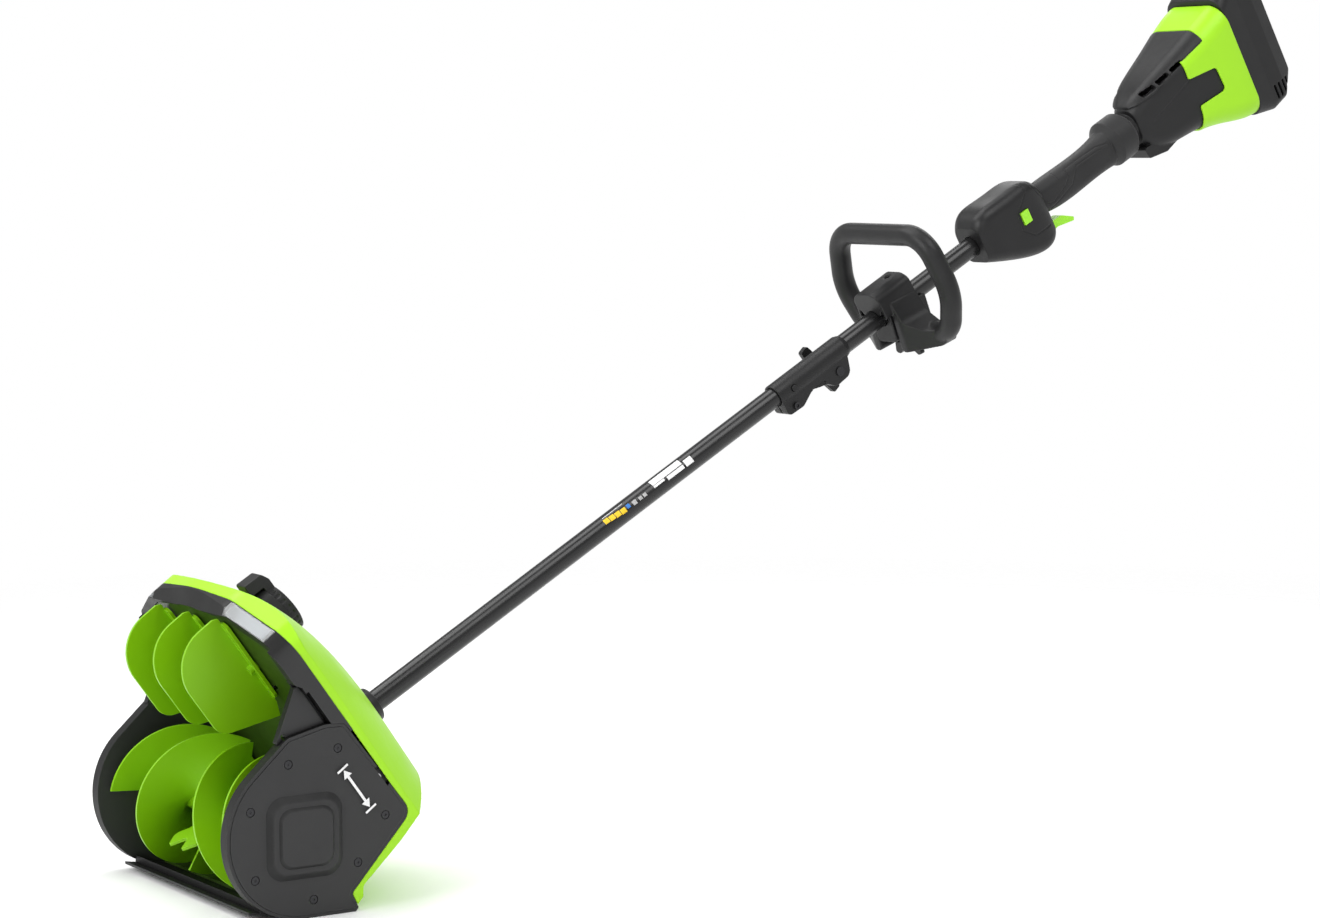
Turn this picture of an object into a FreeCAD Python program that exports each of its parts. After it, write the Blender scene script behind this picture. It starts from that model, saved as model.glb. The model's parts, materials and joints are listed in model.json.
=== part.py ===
"""Cordless snow shovel: powered auger head, two-piece tube, front loop handle, rear grip and motor.

Frame of the whole part: the origin is the centre of the rear grip on the tube's axis, +Z is up, the
auger mouth faces -Y and +X is the side that carries the belt drive.  The part stands in its working
attitude, with the head's base flat on the ground and the tube rising towards the user.
"""
import FreeCAD, Part
import math
import os

V = FreeCAD.Vector
Placement = FreeCAD.Placement
Rotation = FreeCAD.Rotation

DIMENSIONS = {
    # tube line
    "tube_outer": 25.4,
    "tube_wall": 1.6,
    "tube_rise": 30.1,
    "grip_station": 1199,
    "lower_tube_start": -66,
    "lower_tube_end": 716,
    "upper_tube_start": 720,
    "upper_tube_end": 1322,
    "drive_rod": 8,
    "rod_clearance": 0.05,
    # head
    "head_width": 340,
    "mouth_width": 308.8,
    "auger_ahead": 168.3,
    "auger_below": 95.8,
    "hood_tilt": 54,
    "plate_radius": 90,
    "cover_thick": 3,
    "plate_wall": 2.6,
    "shell_wall": 2.6,
    "auger_radius": 79,
    "auger_core_radius": 14,
    "flight_pitch": 140,
    "flight_thick": 3,
    "housing_radius": 83.5,
    "housing_wall": 2.5,
    "liner_face": 97,
    "rim_rear": 112,
    "hood_top": 228,
    "vane_spacing": 70,
    "vane_pivot": 140,
    "vane_thick": 3.2,
    # belt drive
    "cross_forward": 106,
    "cross_down": 12.5,
    "auger_pulley_radius": 30,
    "drive_pulley_radius": 9,
    "belt_thick": 2.4,
    "belt_width": 6,
    "belt_near": 158.5,
    "belt_gap": 0.3,
    "auger_shaft_dia": 12,
    "cross_shaft_dia": 8,
    # controls and handle
    "sleeve_radius": 15.6,
    "sleeve_start": 656,
    "sleeve_end": 776,
    "loop_tube_radius": 13.5,
    "loop_half_width": 105,
    "loop_top": 92,
    "loop_bottom": -42,
    "loop_station": 880,
    "loop_lean": 8,
    "switch_start": 1012,
    "switch_end": 1128,
    "grip_radius": 18.5,
    # motor and battery
    "dock_start": 1486,
    "dock_end": 1562,
}


def make_sheet(document, dimensions):
    """The driving dimensions, one aliased cell each."""
    sheet = document.addObject("Spreadsheet::Sheet", "dims")
    for row, (alias, size) in enumerate(dimensions.items(), start=1):
        sheet.set(f"A{row}", alias)
        sheet.set(f"B{row}", str(size))
        sheet.setAlias(f"B{row}", alias)
    document.recompute()
    return sheet


doc = FreeCAD.newDocument("snow_shovel")
dims = make_sheet(doc, DIMENSIONS)
nodes = []


def dim(alias):
    return float(getattr(dims, alias))


# ---------------------------------------------------------------- places

rise = math.radians(dim("tube_rise"))
tube_direction = V(0, math.cos(rise), math.sin(rise))
shaft_rotation = Rotation(V(1, 0, 0), dim("tube_rise") - 90)

tilt = math.radians(dim("hood_tilt"))
plate_normal = V(0, math.sin(tilt), math.cos(tilt))
plate_up = V(0, -math.cos(tilt), math.sin(tilt))
head_rotation = Rotation(plate_normal, plate_up, V(1, 0, 0), "XYZ")
side_rotation = Rotation(V(0, 1, 0), V(0, 0, 1), V(1, 0, 0), "XYZ")
tube_foot = tube_direction * -dim("grip_station")
auger_centre = tube_foot + V(0, -dim("auger_ahead"), -dim("auger_below"))


def on_shaft(station, side=0.0, down=0.0, turn=0.0):
    """Local z runs rearwards along the tube, x to the object's left and y to the tube's underside."""
    base = tube_direction * (station - dim("grip_station")) + shaft_rotation.multVec(V(side, down, 0))
    return Placement(base, shaft_rotation * Rotation(V(0, 0, 1), turn))


def in_head(rear=0.0, up=0.0, side=0.0):
    """Local x is square to the hood plate, y runs up the plate and z to the object's left."""
    return Placement(auger_centre + head_rotation.multVec(V(rear, up, side)), head_rotation)


def in_side(back=0.0, high=0.0, side=0.0):
    """Local x is the row's +Y, y its +Z and z its +X, from the auger's axis."""
    return Placement(auger_centre + V(side, back, high), side_rotation)


# ---------------------------------------------------------------- drawing helpers

def rounded(corners):
    """Line and arc geometry of a closed outline from (x, y, radius) corners."""
    pieces = []
    ends = []
    count = len(corners)
    for index, (x, y, radius) in enumerate(corners):
        point = V(x, y, 0)
        before = V(*corners[index - 1][:2], 0) - point
        after = V(*corners[(index + 1) % count][:2], 0) - point
        if radius <= 0:
            ends.append((point, None, point))
            continue
        before.normalize()
        after.normalize()
        half = before.getAngle(after) / 2
        reach = radius / math.tan(half)
        bisector = before + after
        bisector.normalize()
        middle = point + bisector * (radius / math.sin(half) - radius)
        ends.append((point + before * reach, middle, point + after * reach))
    for index, (start, middle, finish) in enumerate(ends):
        if middle is not None:
            pieces.append(Part.Arc(start, middle, finish))
        following = ends[(index + 1) % count][0]
        if (following - finish).Length > 1e-6:
            pieces.append(Part.LineSegment(finish, following))
    return pieces


def wire_of(corners):
    return Part.Wire([piece.toShape() for piece in rounded(corners)])


def slab(corners, low, high):
    """A flat outline thickened along local z from low to high."""
    face = Part.Face(wire_of(corners))
    face.translate(V(0, 0, low))
    return face.extrude(V(0, 0, high - low))


def rod(radius, start, finish):
    """A round bar between two points."""
    axis = finish - start
    return Part.makeCylinder(radius, axis.Length, start, axis)


def pipe(outer, inner, start, finish):
    return rod(outer, start, finish).cut(rod(inner, start, finish))


def block(low, high):
    return Part.makeBox(high.x - low.x, high.y - low.y, high.z - low.z, low)


def joined(shapes):
    result = shapes[0]
    for shape in shapes[1:]:
        result = result.fuse(shape)
    return result.removeSplitter()


def moved(shape, placement):
    """A copy of the shape, carried rigidly by a placement."""
    copy = shape.copy()
    copy.Placement = placement.multiply(copy.Placement)
    return copy


def cycled(shape):
    """Carries x to y, y to z and z to x, so that a flat drawing stands square to local x."""
    return moved(shape, Placement(V(0, 0, 0), side_rotation))


def mirrored(shape):
    """The same shape on the other side of the object, in head or side coordinates."""
    return shape.mirror(V(0, 0, 0), V(0, 0, 1))


def register(obj, label):
    obj.Label = label
    nodes.append(obj)
    return obj


def feature(label, placement, shape):
    obj = doc.addObject("Part::Feature", label)
    obj.Shape = shape
    obj.Placement = placement.multiply(shape.Placement)
    return register(obj, label)


def group(label, placement, solids):
    return feature(label, placement, Part.makeCompound(solids))


def new_body(label, placement):
    body = doc.addObject("PartDesign::Body", label)
    body.Placement = placement
    return register(body, label)


def new_sketch(body, role, geometry, offset=0.0):
    """A sketch on one of the body's own origin planes, raised by offset."""
    sketch = body.newObject("Sketcher::SketchObject", body.Name + "_sketch")
    support = next(item for item in body.Origin.OriginFeatures if item.Role == role)
    sketch.AttachmentSupport = [(support, "")]
    sketch.MapMode = "FlatFace"
    sketch.AttachmentOffset = Placement(V(0, 0, offset), Rotation())
    for piece in geometry:
        sketch.addGeometry(piece, False)
    return sketch


def add_pad(body, sketch, length, reverse=False, taper=0.0):
    """A pad whose length is an expression of the sheet's cells."""
    pad = body.newObject("PartDesign::Pad", body.Name + "_pad")
    pad.Profile = sketch
    pad.setExpression("Length", length)
    pad.Reversed = reverse
    if taper:
        pad.TaperAngle = taper
    return pad


def turned(label, placement, corners):
    """A body revolved about local z from an outline of (radius, z, corner radius)."""
    body = new_body(label, placement)
    sketch = new_sketch(body, "XZ_Plane", rounded(corners))
    revolution = body.newObject("PartDesign::Revolution", body.Name + "_turned")
    revolution.Profile = sketch
    revolution.ReferenceAxis = (sketch, ["V_Axis"])
    revolution.Angle = 360
    return body


def cylinder(name, placement, radius, length):
    """A Part cylinder bound to the sheet by two expressions."""
    obj = doc.addObject("Part::Cylinder", name)
    obj.setExpression("Radius", radius)
    obj.setExpression("Height", length)
    obj.Placement = placement
    return obj


def tube(label, placement, outer, inner, length):
    cut = doc.addObject("Part::Cut", label)
    cut.Base = cylinder(label + "_outside", placement, outer, length)
    cut.Tool = cylinder(label + "_bore", placement, inner, length)
    return register(cut, label)


def round_bar(label, placement, radius, length):
    return register(cylinder(label, placement, radius, length), label)


# ---------------------------------------------------------------- head: outlines

half_width = dim("head_width") / 2
half_mouth = dim("mouth_width") / 2
plate_radius = dim("plate_radius")
rim_rear = dim("rim_rear")
hood_top = dim("hood_top")


def cover_outline(inset=0.0):
    """Side outline of the plates in side coordinates: a round front, a sloping back and a flat foot."""
    shoulder = V(-18, 105.5, 0)
    reach = math.acos(plate_radius / shoulder.Length)
    touch = math.atan2(shoulder.y, shoulder.x) + reach
    run = (plate_radius - plate_radius * math.sin(touch)) / math.cos(touch)
    nose = V(plate_radius * math.cos(touch), plate_radius * math.sin(touch), 0)
    along = V(math.sin(touch), -math.cos(touch), 0)
    fall = (nose.y + plate_radius) / along.y
    front = nose - along * fall
    corners = [
        (front.x, front.y, plate_radius),
        (shoulder.x, shoulder.y, 12),
        (27, 116.5, 25),
        (50, 116, 10),
        (131, 11.6, 15),
        (57.8, -69.8, 4),
        (66, -86, 3),
        (62, -plate_radius, 1.5),
    ]
    wire = wire_of(corners)
    if inset:
        wire = wire.makeOffset2D(-inset)
    return wire


def cover_slab(inset, low, high):
    face = Part.Face(cover_outline(inset))
    face.translate(V(0, 0, low))
    return face.extrude(V(0, 0, high - low))


def hood_outline(inset=0.0, foot=-90.0):
    """Plan outline of the hood in (up the plate, sideways) coordinates."""
    wide = half_width - inset
    top = hood_top - inset
    lean = inset * 0.4
    right = [(foot, wide, 0), (158 - lean, wide, 0), (172 - lean, wide - 4, 24), (187 - lean, 152 - inset, 22),
             (222 - inset, 84 - lean, 40)]
    left = [(up, -side, radius) for up, side, radius in reversed(right)]
    return right + [(top + 1, 0, 400)] + left


def hood_slab(inset, low, high, foot=-90.0):
    return cycled(slab(hood_outline(inset, foot), low, high))


def crown_section(up, side_height, crown, inset):
    """One arch across the shell: straight sides with a crowned back, at a height up the plate."""
    wide = half_width - inset
    low = -60
    shoulder = side_height - inset
    heights = [(1.0, 0.0), (0.92, 0.28), (0.8, 0.56), (0.5, 0.88), (0.0, 1.0)]
    right = [V(shoulder + crown * rise_share, up, wide * share) for share, rise_share in heights]
    left = [V(point.x, up, -point.z) for point in reversed(right[:-1])]
    arch = Part.BSplineCurve()
    arch.interpolate(right + left)
    corners = [V(shoulder, up, -wide), V(low, up, -wide), V(low, up, wide), V(shoulder, up, wide)]
    edges = [Part.LineSegment(corners[i], corners[i + 1]).toShape() for i in range(3)]
    return Part.Wire([arch.toShape()] + edges)


def shell_solid(inset):
    """The outer shell's envelope: crowned back, hood outline and bent base, drawn in by inset."""
    stations = [(-120, 120.5, 58), (60, 120.5, 58), (150, 120.5, 42), (240, 114, 2)]
    arch = Part.makeLoft([crown_section(up, side, crown, inset) for up, side, crown in stations], True, False)
    base = [(-40, 260, 0), (260, 260, 0), (260, -66 + inset, 0), (150 - inset, -68 + inset, 30),
            (117.5 - inset, -78 + inset, 14), (85.4, -85.2 + inset, 60), (20.9, -93.4 + inset, 10),
            (14 - inset, -103 + inset, 3), (3, -105.5 + inset, 1), (-40, -105.5 + inset, 0)]
    side = slab(base, -200, 200)
    plan = hood_slab(inset, -50, 260, foot=-120)
    return arch.common(side).common(plan)


# ---------------------------------------------------------------- head: fixed pieces

def make_outer_shell():
    outside = shell_solid(0)
    inside = shell_solid(dim("shell_wall"))
    keep = block(V(rim_rear, -120, -200), V(260, 260, 200)).fuse(block(V(4, -120, -200), V(rim_rear, -60, 200)))
    shell = outside.cut(inside).common(keep)
    foot_cut = cover_slab(-0.4, -half_width - 1, half_width + 1)
    foot_cut = moved(foot_cut, side_to_head)
    collar_hole = rod(24.2, V(150, collar_up(150), 0), V(230, collar_up(230), 0))
    knob_hole = rod(9, V(100, dim("vane_pivot"), 0), V(230, dim("vane_pivot"), 0))
    shell = shell.cut(foot_cut).cut(collar_hole).cut(knob_hole)
    feature("outer_shell", in_head(), shell)


side_to_head = Placement(V(0, 0, 0), head_rotation.inverted() * side_rotation)
tube_in_head = head_rotation.inverted().multVec(tube_direction)
foot_in_head = head_rotation.inverted().multVec(tube_foot - auger_centre)


def collar_up(rear):
    """Height up the plate of the tube's axis at a distance behind the auger."""
    travel = (rear - foot_in_head.x) / tube_in_head.x
    return foot_in_head.y + tube_in_head.y * travel


SCREWS = [(41.8, 89.8), (-17.4, 77.9), (-62.4, 31.6), (-57.7, -41.8), (11.3, -70.5), (65.1, -36.6), (98.9, 11.3)]
cross_centre = V(dim("cross_forward"), -dim("cross_down"), 0)
cross_in_side = side_to_head.inverse().multVec(cross_centre)
inner_face = half_mouth
pocket_face = half_mouth + dim("plate_wall")
cover_face = half_width - dim("cover_thick")
BEARING_RADIUS = 11
COVER_INSET = 3.9
SCRAPER_SCREWS = [index * 66 for index in (-2, -1, 0, 1, 2)]


def side_plate():
    """One side of the frame in head coordinates: a dished plate with screw posts and a belt pocket."""
    plate = cover_slab(0, inner_face, half_width - 0.6)
    recess = cover_slab(COVER_INSET - 0.35, cover_face, half_width)
    pocket = cover_slab(COVER_INSET + 2.6, pocket_face, cover_face + 1)
    plate = plate.cut(recess).cut(pocket)
    for back, high in SCREWS:
        plate = plate.fuse(rod(4.5, V(back, high, inner_face), V(back, high, cover_face)))
        plate = plate.cut(rod(1.6, V(back, high, pocket_face), V(back, high, cover_face + 1)))
    plate = plate.cut(rod(BEARING_RADIUS, V(0, 0, inner_face - 1), V(0, 0, pocket_face + 1)))
    return moved(plate, side_to_head)


def hood_side():
    """The wall between a side plate and the hood rim: outer strip, recessed gusset and groove."""
    strip = slab([(96.5, 52, 0), (rim_rear, 52, 0), (rim_rear, 212, 0), (94, 212, 0), (88, 196, 6), (88, 136, 6),
                  (96.5, 122, 4)], half_width - 12, half_width)
    gusset = slab([(92.5, 60, 0), (92.5, 130, 0), (88, 131, 0), (36, 97, 2), (52, 60, 0)],
                  inner_face, half_width - 7)
    web = slab([(88, 56, 0), (rim_rear, 56, 0), (rim_rear, 140, 0), (88, 140, 0)], inner_face, inner_face + 3.5)
    wall = strip.fuse(gusset).fuse(web)
    eye = rod(3, V(47, 98, inner_face - 1), V(47, 98, half_width))
    plate = moved(cover_slab(-0.3, inner_face + 0.5, half_width + 5), side_to_head)
    return wall.cut(plate).common(hood_slab(0, 0, rim_rear)).cut(eye)


def hood_rim():
    """The band round the front of the hood, whose top edge leans back."""
    front = 93
    lean = 12
    outer = hood_slab(0, front, rim_rear, 100)
    lean_cut = slab([(front - 1, hood_top - lean - 1, 0), (rim_rear, hood_top + 1, 0), (front - 1, hood_top + 20, 0)],
                    -200, 200)
    hollow = hood_slab(11, front - 1, rim_rear + 1, 60)
    rim = outer.cut(hollow).cut(lean_cut)
    above = block(V(front - 1, 120, -200), V(rim_rear + 1, 260, 200))
    return rim.common(above)


def lens_cut(inset):
    """The wedge of rim that a lamp lens fills."""
    return slab([(93.5 + inset, 181 + inset, 0), (rim_rear - 0.6 - inset, 181 + inset, 0),
                 (rim_rear - 0.6 - inset, 221 - inset, 0), (93.5 + inset, 221 - inset, 0)],
                86 + inset, 150 - inset)


def make_head_frame():
    right = side_plate().fuse(hood_side())
    belt_way = rod(13.5, V(cross_centre.x, cross_centre.y, pocket_face), V(cross_centre.x, cross_centre.y, 180))
    shaft_hole = rod(BEARING_RADIUS - 3, V(cross_centre.x, cross_centre.y, 100),
                     V(cross_centre.x, cross_centre.y, pocket_face + 1))
    shelf = slab([(84, -34, 0), (118, -34, 4), (118, 10, 4), (84, 10, 0)], inner_face, pocket_face)
    right = right.fuse(shelf).cut(belt_way).cut(shaft_hole)
    rim = hood_rim()
    lens = lens_cut(0)
    rim = rim.cut(lens).cut(mirrored(lens))
    base = moved(crossbar().fuse(skid()), side_to_head)
    frame = joined([rim, right, mirrored(right), base])
    feature("head_frame", in_head(), frame)


def crossbar():
    """The filler under the auger housing that joins the side plates and takes the scraper's screws."""
    bar = slab([(-45, -73.5, 0), (-45, -81, 0), (-8, -87.1, 0), (30, -87.1, 0), (30, -81, 0)],
               -inner_face, inner_face)
    bar = bar.cut(rod(dim("housing_radius") + dim("housing_wall") + 0.1, V(0, 0, -half_width), V(0, 0, half_width)))
    for side in SCRAPER_SCREWS:
        bar = bar.cut(rod(2.1, V(8, -plate_radius, side), V(8, -80, side)))
    return bar


def make_auger_housing():
    """The curved wall behind the auger, from the ceiling down to the scraper."""
    inner = dim("housing_radius")
    wall = dim("housing_wall")
    ceiling = V(dim("liner_face"), 74, 0)

    def touch_angle(radius, point):
        return math.atan2(point.y, point.x) - math.acos(radius / point.Length)

    last = math.radians(-132)

    def edge_points(radius, point):
        first = touch_angle(radius, point)
        half = (first + last) / 2
        return [V(radius * math.cos(angle), radius * math.sin(angle), 0) for angle in (first, half, last)]

    near = edge_points(inner, ceiling)
    top_outer = ceiling + V(wall, 0, 0)
    far = edge_points(inner + wall, top_outer)
    edges = [
        Part.LineSegment(ceiling, near[0]),
        Part.Arc(near[0], near[1], near[2]),
        Part.LineSegment(near[2], far[2]),
        Part.Arc(far[2], far[1], far[0]),
        Part.LineSegment(far[0], top_outer),
        Part.LineSegment(top_outer, ceiling),
    ]
    body = new_body("auger_housing", in_head())
    sketch = new_sketch(body, "XY_Plane", edges, -half_mouth + 0.1)
    add_pad(body, sketch, "dims.mouth_width - 0.2")


def make_hood_liner():
    """The green ceiling that the vanes hang from, with arc slots for the tie bar's pins."""
    face = dim("liner_face")
    outline = hood_slab(11.2, face, face + dim("housing_wall"), 74.4)
    outline = outline.common(block(V(face - 1, 0, -inner_face + 0.3), V(face + 9, hood_top, inner_face - 0.3)))
    pivot = dim("vane_pivot")
    for side in vane_sides():
        outline = outline.cut(rod(6.2, V(face - 1, pivot, side), V(face + 5, pivot, side)))
        outline = outline.cut(pin_slot(face - 1, face + 5, side))
    feature("hood_liner", in_head(), outline)


def vane_sides():
    spacing = dim("vane_spacing")
    return (-spacing, 0.0, spacing)


PIN_ARM = 33
PIN_RADIUS = 2.2
SWING = 25


def pin_slot(low, high, side):
    """The arc that a tie-bar pin sweeps through, with its clearance."""
    pivot = V(low, dim("vane_pivot"), side)
    ring = Part.makeCylinder(PIN_ARM + PIN_RADIUS + 0.6, high - low, pivot, V(1, 0, 0))
    ring = ring.cut(Part.makeCylinder(PIN_ARM - PIN_RADIUS - 0.6, high - low, pivot, V(1, 0, 0)))
    reach = PIN_ARM + 10
    spread = reach * math.tan(math.radians(SWING + 6))
    wedge = Part.makePolygon([pivot, pivot + V(0, -reach, -spread), pivot + V(0, -reach, spread), pivot])
    wedge = Part.Face(wedge).extrude(V(high - low, 0, 0))
    return ring.common(wedge)


BULGE = 46


def make_side_cover(label, mirror):
    """A flat cover with a stepped, rounded-square bulge over the auger's end and recessed screw seats."""
    face = cover_slab(COVER_INSET, cover_face, half_width)
    outer = domed(BULGE, 0, [(-0.5, 1.0), (0.2, 0.985), (1.4, 0.95), (3.8, 0.88), (5.0, 0.84), (5.5, 0.80)])
    inner = domed(BULGE, 0, [(5.0, 0.72), (5.6, 0.71), (6.6, 0.685), (7.5, 0.66), (8.0, 0.62)])
    hollow = domed(BULGE, -dim("cover_thick") - 0.1, [(0, 0.93), (2.0, 0.90), (6.3, 0.76)])
    cover = face.fuse(outer).fuse(inner).cut(hollow)
    for back, high in SCREWS:
        cover = cover.cut(rod(5.2, V(back, high, half_width - 1.4), V(back, high, half_width + 1)))
        cover = cover.cut(rod(1.9, V(back, high, cover_face - 1), V(back, high, half_width + 1)))
    if mirror:
        cover = mirrored(cover)
    feature(label, in_side(), cover)


def domed(half_size, lift, steps):
    """A smooth loft on the cover's face through rounded squares, from (height, share of full size) steps."""
    sections = []
    for height, share in steps:
        reach = half_size * share
        corner = reach * 0.45
        ring = wire_of([(1 - reach, -1 - reach, corner), (1 + reach, -1 - reach, corner),
                        (1 + reach, -1 + reach, corner), (1 - reach, -1 + reach, corner)])
        ring.translate(V(0, 0, half_width + lift + height))
        sections.append(ring)
    return Part.makeLoft(sections, True, False)


def make_cover_screws():
    """Seven pan-head screws a side with a small drive recess, sunk in the covers' seats."""
    screws = []
    for back, high in SCREWS:
        head = rod(4.3, V(back, high, half_width - 1.4), V(back, high, half_width - 0.2))
        drive = rod(1.5, V(back, high, half_width - 1.0), V(back, high, half_width))
        shank = rod(1.55, V(back, high, half_width - 10), V(back, high, half_width - 1.4))
        screws.append(head.cut(drive).fuse(shank))
    group("cover_screws", in_side(), screws + [mirrored(screw) for screw in screws])


def make_scraper():
    """The wear bar along the front of the base, with five screws."""
    bar = slab([(-58, -79, 0), (-56, -79.4, 0), (-8, -87.2, 0), (26, -87.2, 0), (26, -plate_radius, 0.6),
                (-10, -plate_radius, 2), (-58, -82, 0)], -inner_face + 0.3, inner_face - 0.3)
    screws = []
    for side in SCRAPER_SCREWS:
        bar = bar.cut(rod(4.2, V(8, -plate_radius - 1, side), V(8, -plate_radius + 3.3, side)))
        bar = bar.cut(rod(2.1, V(8, -plate_radius, side), V(8, -80, side)))
        screws.append(rod(4, V(8, -plate_radius + 0.4, side), V(8, -plate_radius + 2.8, side)).fuse(
            rod(1.9, V(8, -plate_radius + 2.8, side), V(8, -86.6, side))))
    feature("scraper_bar", in_side(), bar)
    group("scraper_screws", in_side(), screws)


def make_lamps():
    """A clear wedge lens in each shoulder of the rim, with a small lamp board behind it."""
    body = hood_slab(0.0, 93, rim_rear, 100).cut(hood_slab(5.5, 92, rim_rear + 1, 60))
    lean_cut = slab([(92, hood_top - 13, 0), (rim_rear, hood_top + 1, 0), (92, hood_top + 20, 0)], -200, 200)
    lens = body.cut(lean_cut).common(lens_cut(0.25))
    board_zone = hood_slab(7, 95, 110, 100).cut(hood_slab(8.6, 94, 111, 60)).common(lens_cut(3))
    group("lamp_lenses", in_head(), [lens, mirrored(lens)])
    group("lamp_boards", in_head(), [board_zone, mirrored(board_zone)])


def skid():
    """The hollow skid block under the rear of the base."""
    foot = slab([(28, -84.5, 0), (52, -76, 2), (59, -84, 1), (58, -plate_radius, 1), (28, -plate_radius, 0)],
                -inner_face, inner_face)
    hollow = slab([(31, -86.5, 0), (51, -79.5, 1), (55, -85, 1), (55, -88, 0.5), (31, -88, 0)],
                  -inner_face + 4, inner_face - 4)
    return foot.cut(hollow)


# ---------------------------------------------------------------- head: vanes

def blade(side):
    """One deflector blade and its flange, hanging forward from the ceiling."""
    thick = dim("vane_thick")
    outline = [(92, 210, 1), (86, 213, 3), (18, 213.5, 48), (18.5, 105.8, 20), (86, 76.5, 1), (92, 92, 1)]
    plate = slab(outline, -thick / 2, thick / 2)
    flange = cycled(slab([(97, -9, 7), (203, -9, 8), (203, 9, 8), (97, 9, 7)], 91, 94.8))
    pivot = dim("vane_pivot")
    post = rod(6, V(86, pivot, 0), V(113, pivot, 0))
    whole = joined([plate, flange, post])
    low = pivot - PIN_ARM
    whole = whole.cut(rod(PIN_RADIUS + 0.25, V(90.6, low, 0), V(113, low, 0)))
    whole.translate(V(0, 0, side))
    return whole


def make_vanes():
    labels = ("vane_right", "vane_centre", "vane_left")
    for label, side in zip(labels, vane_sides()):
        feature(label, in_head(), blade(side))
    low = dim("vane_pivot") - PIN_ARM
    pins = [rod(PIN_RADIUS, V(91.2, low, side), V(107, low, side)) for side in vane_sides()]
    group("tie_pins", in_head(), pins)
    spacing = dim("vane_spacing")
    bar = slab([(low - 5, -spacing - 6, 5), (low + 5, -spacing - 6, 5), (low + 5, spacing + 6, 5),
                (low - 5, spacing + 6, 5)], 102.5, 105)
    bar = cycled(bar)
    for side in vane_sides():
        bar = bar.cut(rod(PIN_RADIUS, V(100, low, side), V(110, low, side)))
    feature("tie_bar", in_head(), bar)


def make_knob():
    """The vane knob behind the hood, on its round seat: a ribbed drum with a lever and a stem to the vane."""
    pivot = dim("vane_pivot")
    seat = rod(34, V(130, pivot, 0), V(173, pivot, 0)).cut(shell_solid(-0.05))
    seat = seat.cut(rod(7, V(120, pivot, 0), V(180, pivot, 0)))
    feature("knob_seat", in_head(), seat)
    drum = rod(31, V(173.6, pivot, 0), V(185, pivot, 0))
    lever = slab([(173.6, pivot, 0), (185, pivot, 0), (185, pivot + 40, 3), (180, pivot + 50, 3),
                  (156, pivot + 52, 2), (156, pivot + 37, 2), (173.6, pivot + 36, 0)], -11, 11)
    stem = rod(6, V(113, pivot, 0), V(174, pivot, 0))
    knob = joined([drum, lever, stem])
    for index in range(24):
        angle = math.radians(index * 15)
        if math.cos(angle) > 0.9:
            continue
        up = pivot + 32.5 * math.cos(angle)
        side = 32.5 * math.sin(angle)
        knob = knob.cut(rod(2.8, V(171, up, side), V(181, up, side)))
    feature("vane_knob", in_head(), knob)


# ---------------------------------------------------------------- head: auger and belt drive

def flight(start, turns, phase):
    """A helical blade of even thickness along the auger's axis, in side coordinates."""
    pitch = dim("flight_pitch")
    height = pitch * turns
    radius = dim("auger_radius")
    inside = dim("auger_core_radius") - 1.5
    thick = dim("flight_thick")
    path = Part.Wire(Part.makeHelix(pitch, height, radius, 0, False).Edges)
    corners = [V(inside, 0, 0), V(radius, 0, 0), V(radius, 0, thick), V(inside, 0, thick), V(inside, 0, 0)]
    blade_solid = path.makePipeShell([Part.makePolygon(corners)], True, True)
    blade_solid.rotate(V(0, 0, 0), V(0, 0, 1), phase + 360 * start / pitch)
    blade_solid.translate(V(0, 0, start))
    return blade_solid


def auger_half(phase):
    """A core tube with two flights half a turn apart, from near the paddles to the auger's end."""
    core_radius = dim("auger_core_radius")
    half = pipe(core_radius, dim("auger_shaft_dia") / 2, V(0, 0, 0.1), V(0, 0, 149))
    for turn in (0, 180):
        half = half.fuse(flight(FLIGHT_START, FLIGHT_TURNS, phase + turn))
    return half


def paddle(turn):
    """A throwing paddle at mid-width: a waisted plate with two leaf-shaped tips that stands on the core."""
    inside = dim("auger_core_radius") - 3
    edge = [(inside, -30, 0), (28, -24, 6), (43, -18, 10), (60, -30, 9), (77, -15, 2), (58, 0, 4), (77, 15, 2),
            (60, 30, 9), (43, 18, 10), (28, 24, 6), (inside, 30, 0)]
    plate = slab(edge, -1.6, 1.6)
    plate.rotate(V(0, 0, 0), V(1, 0, 0), 90)
    plate = plate.cut(rod(dim("auger_core_radius"), V(0, 0, -40), V(0, 0, 40)))
    plate.rotate(V(0, 0, 0), V(0, 0, 1), turn)
    return plate


FLIGHT_START = 28
FLIGHT_TURNS = 0.82
FLIGHT_PHASE = -11
NEAR_LAG = 20
PADDLE_TURN = 27


def make_auger():
    """Two moulded halves of opposite hand with the paddles between them, on one steel shaft."""
    near = auger_half(FLIGHT_PHASE + NEAR_LAG)
    far = mirrored(auger_half(FLIGHT_PHASE))
    group("auger_flights", in_side(), [near, far])
    group("auger_paddles", in_side(), [paddle(PADDLE_TURN), paddle(PADDLE_TURN + 180)])
    round_bar("auger_shaft", in_side(side=-163), "dims.auger_shaft_dia / 2", "328")


def bearing(outer, inner, low, high):
    return rod(outer, V(0, 0, low), V(0, 0, high)).cut(rod(inner, V(0, 0, low), V(0, 0, high)))


def make_bearings():
    """Ball-bearing rings of the auger and the cross shaft."""
    near = bearing(BEARING_RADIUS, dim("auger_shaft_dia") / 2 + 0.02, 151.5, 157)
    lift = Placement(cross_in_side, Rotation())
    bore = dim("cross_shaft_dia") / 2 + 0.02
    cross = [moved(bearing(7.9, bore, low, low + 5), lift) for low in (152, -23)]
    group("head_bearings", in_side(), [near, mirrored(near)] + cross)


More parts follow.
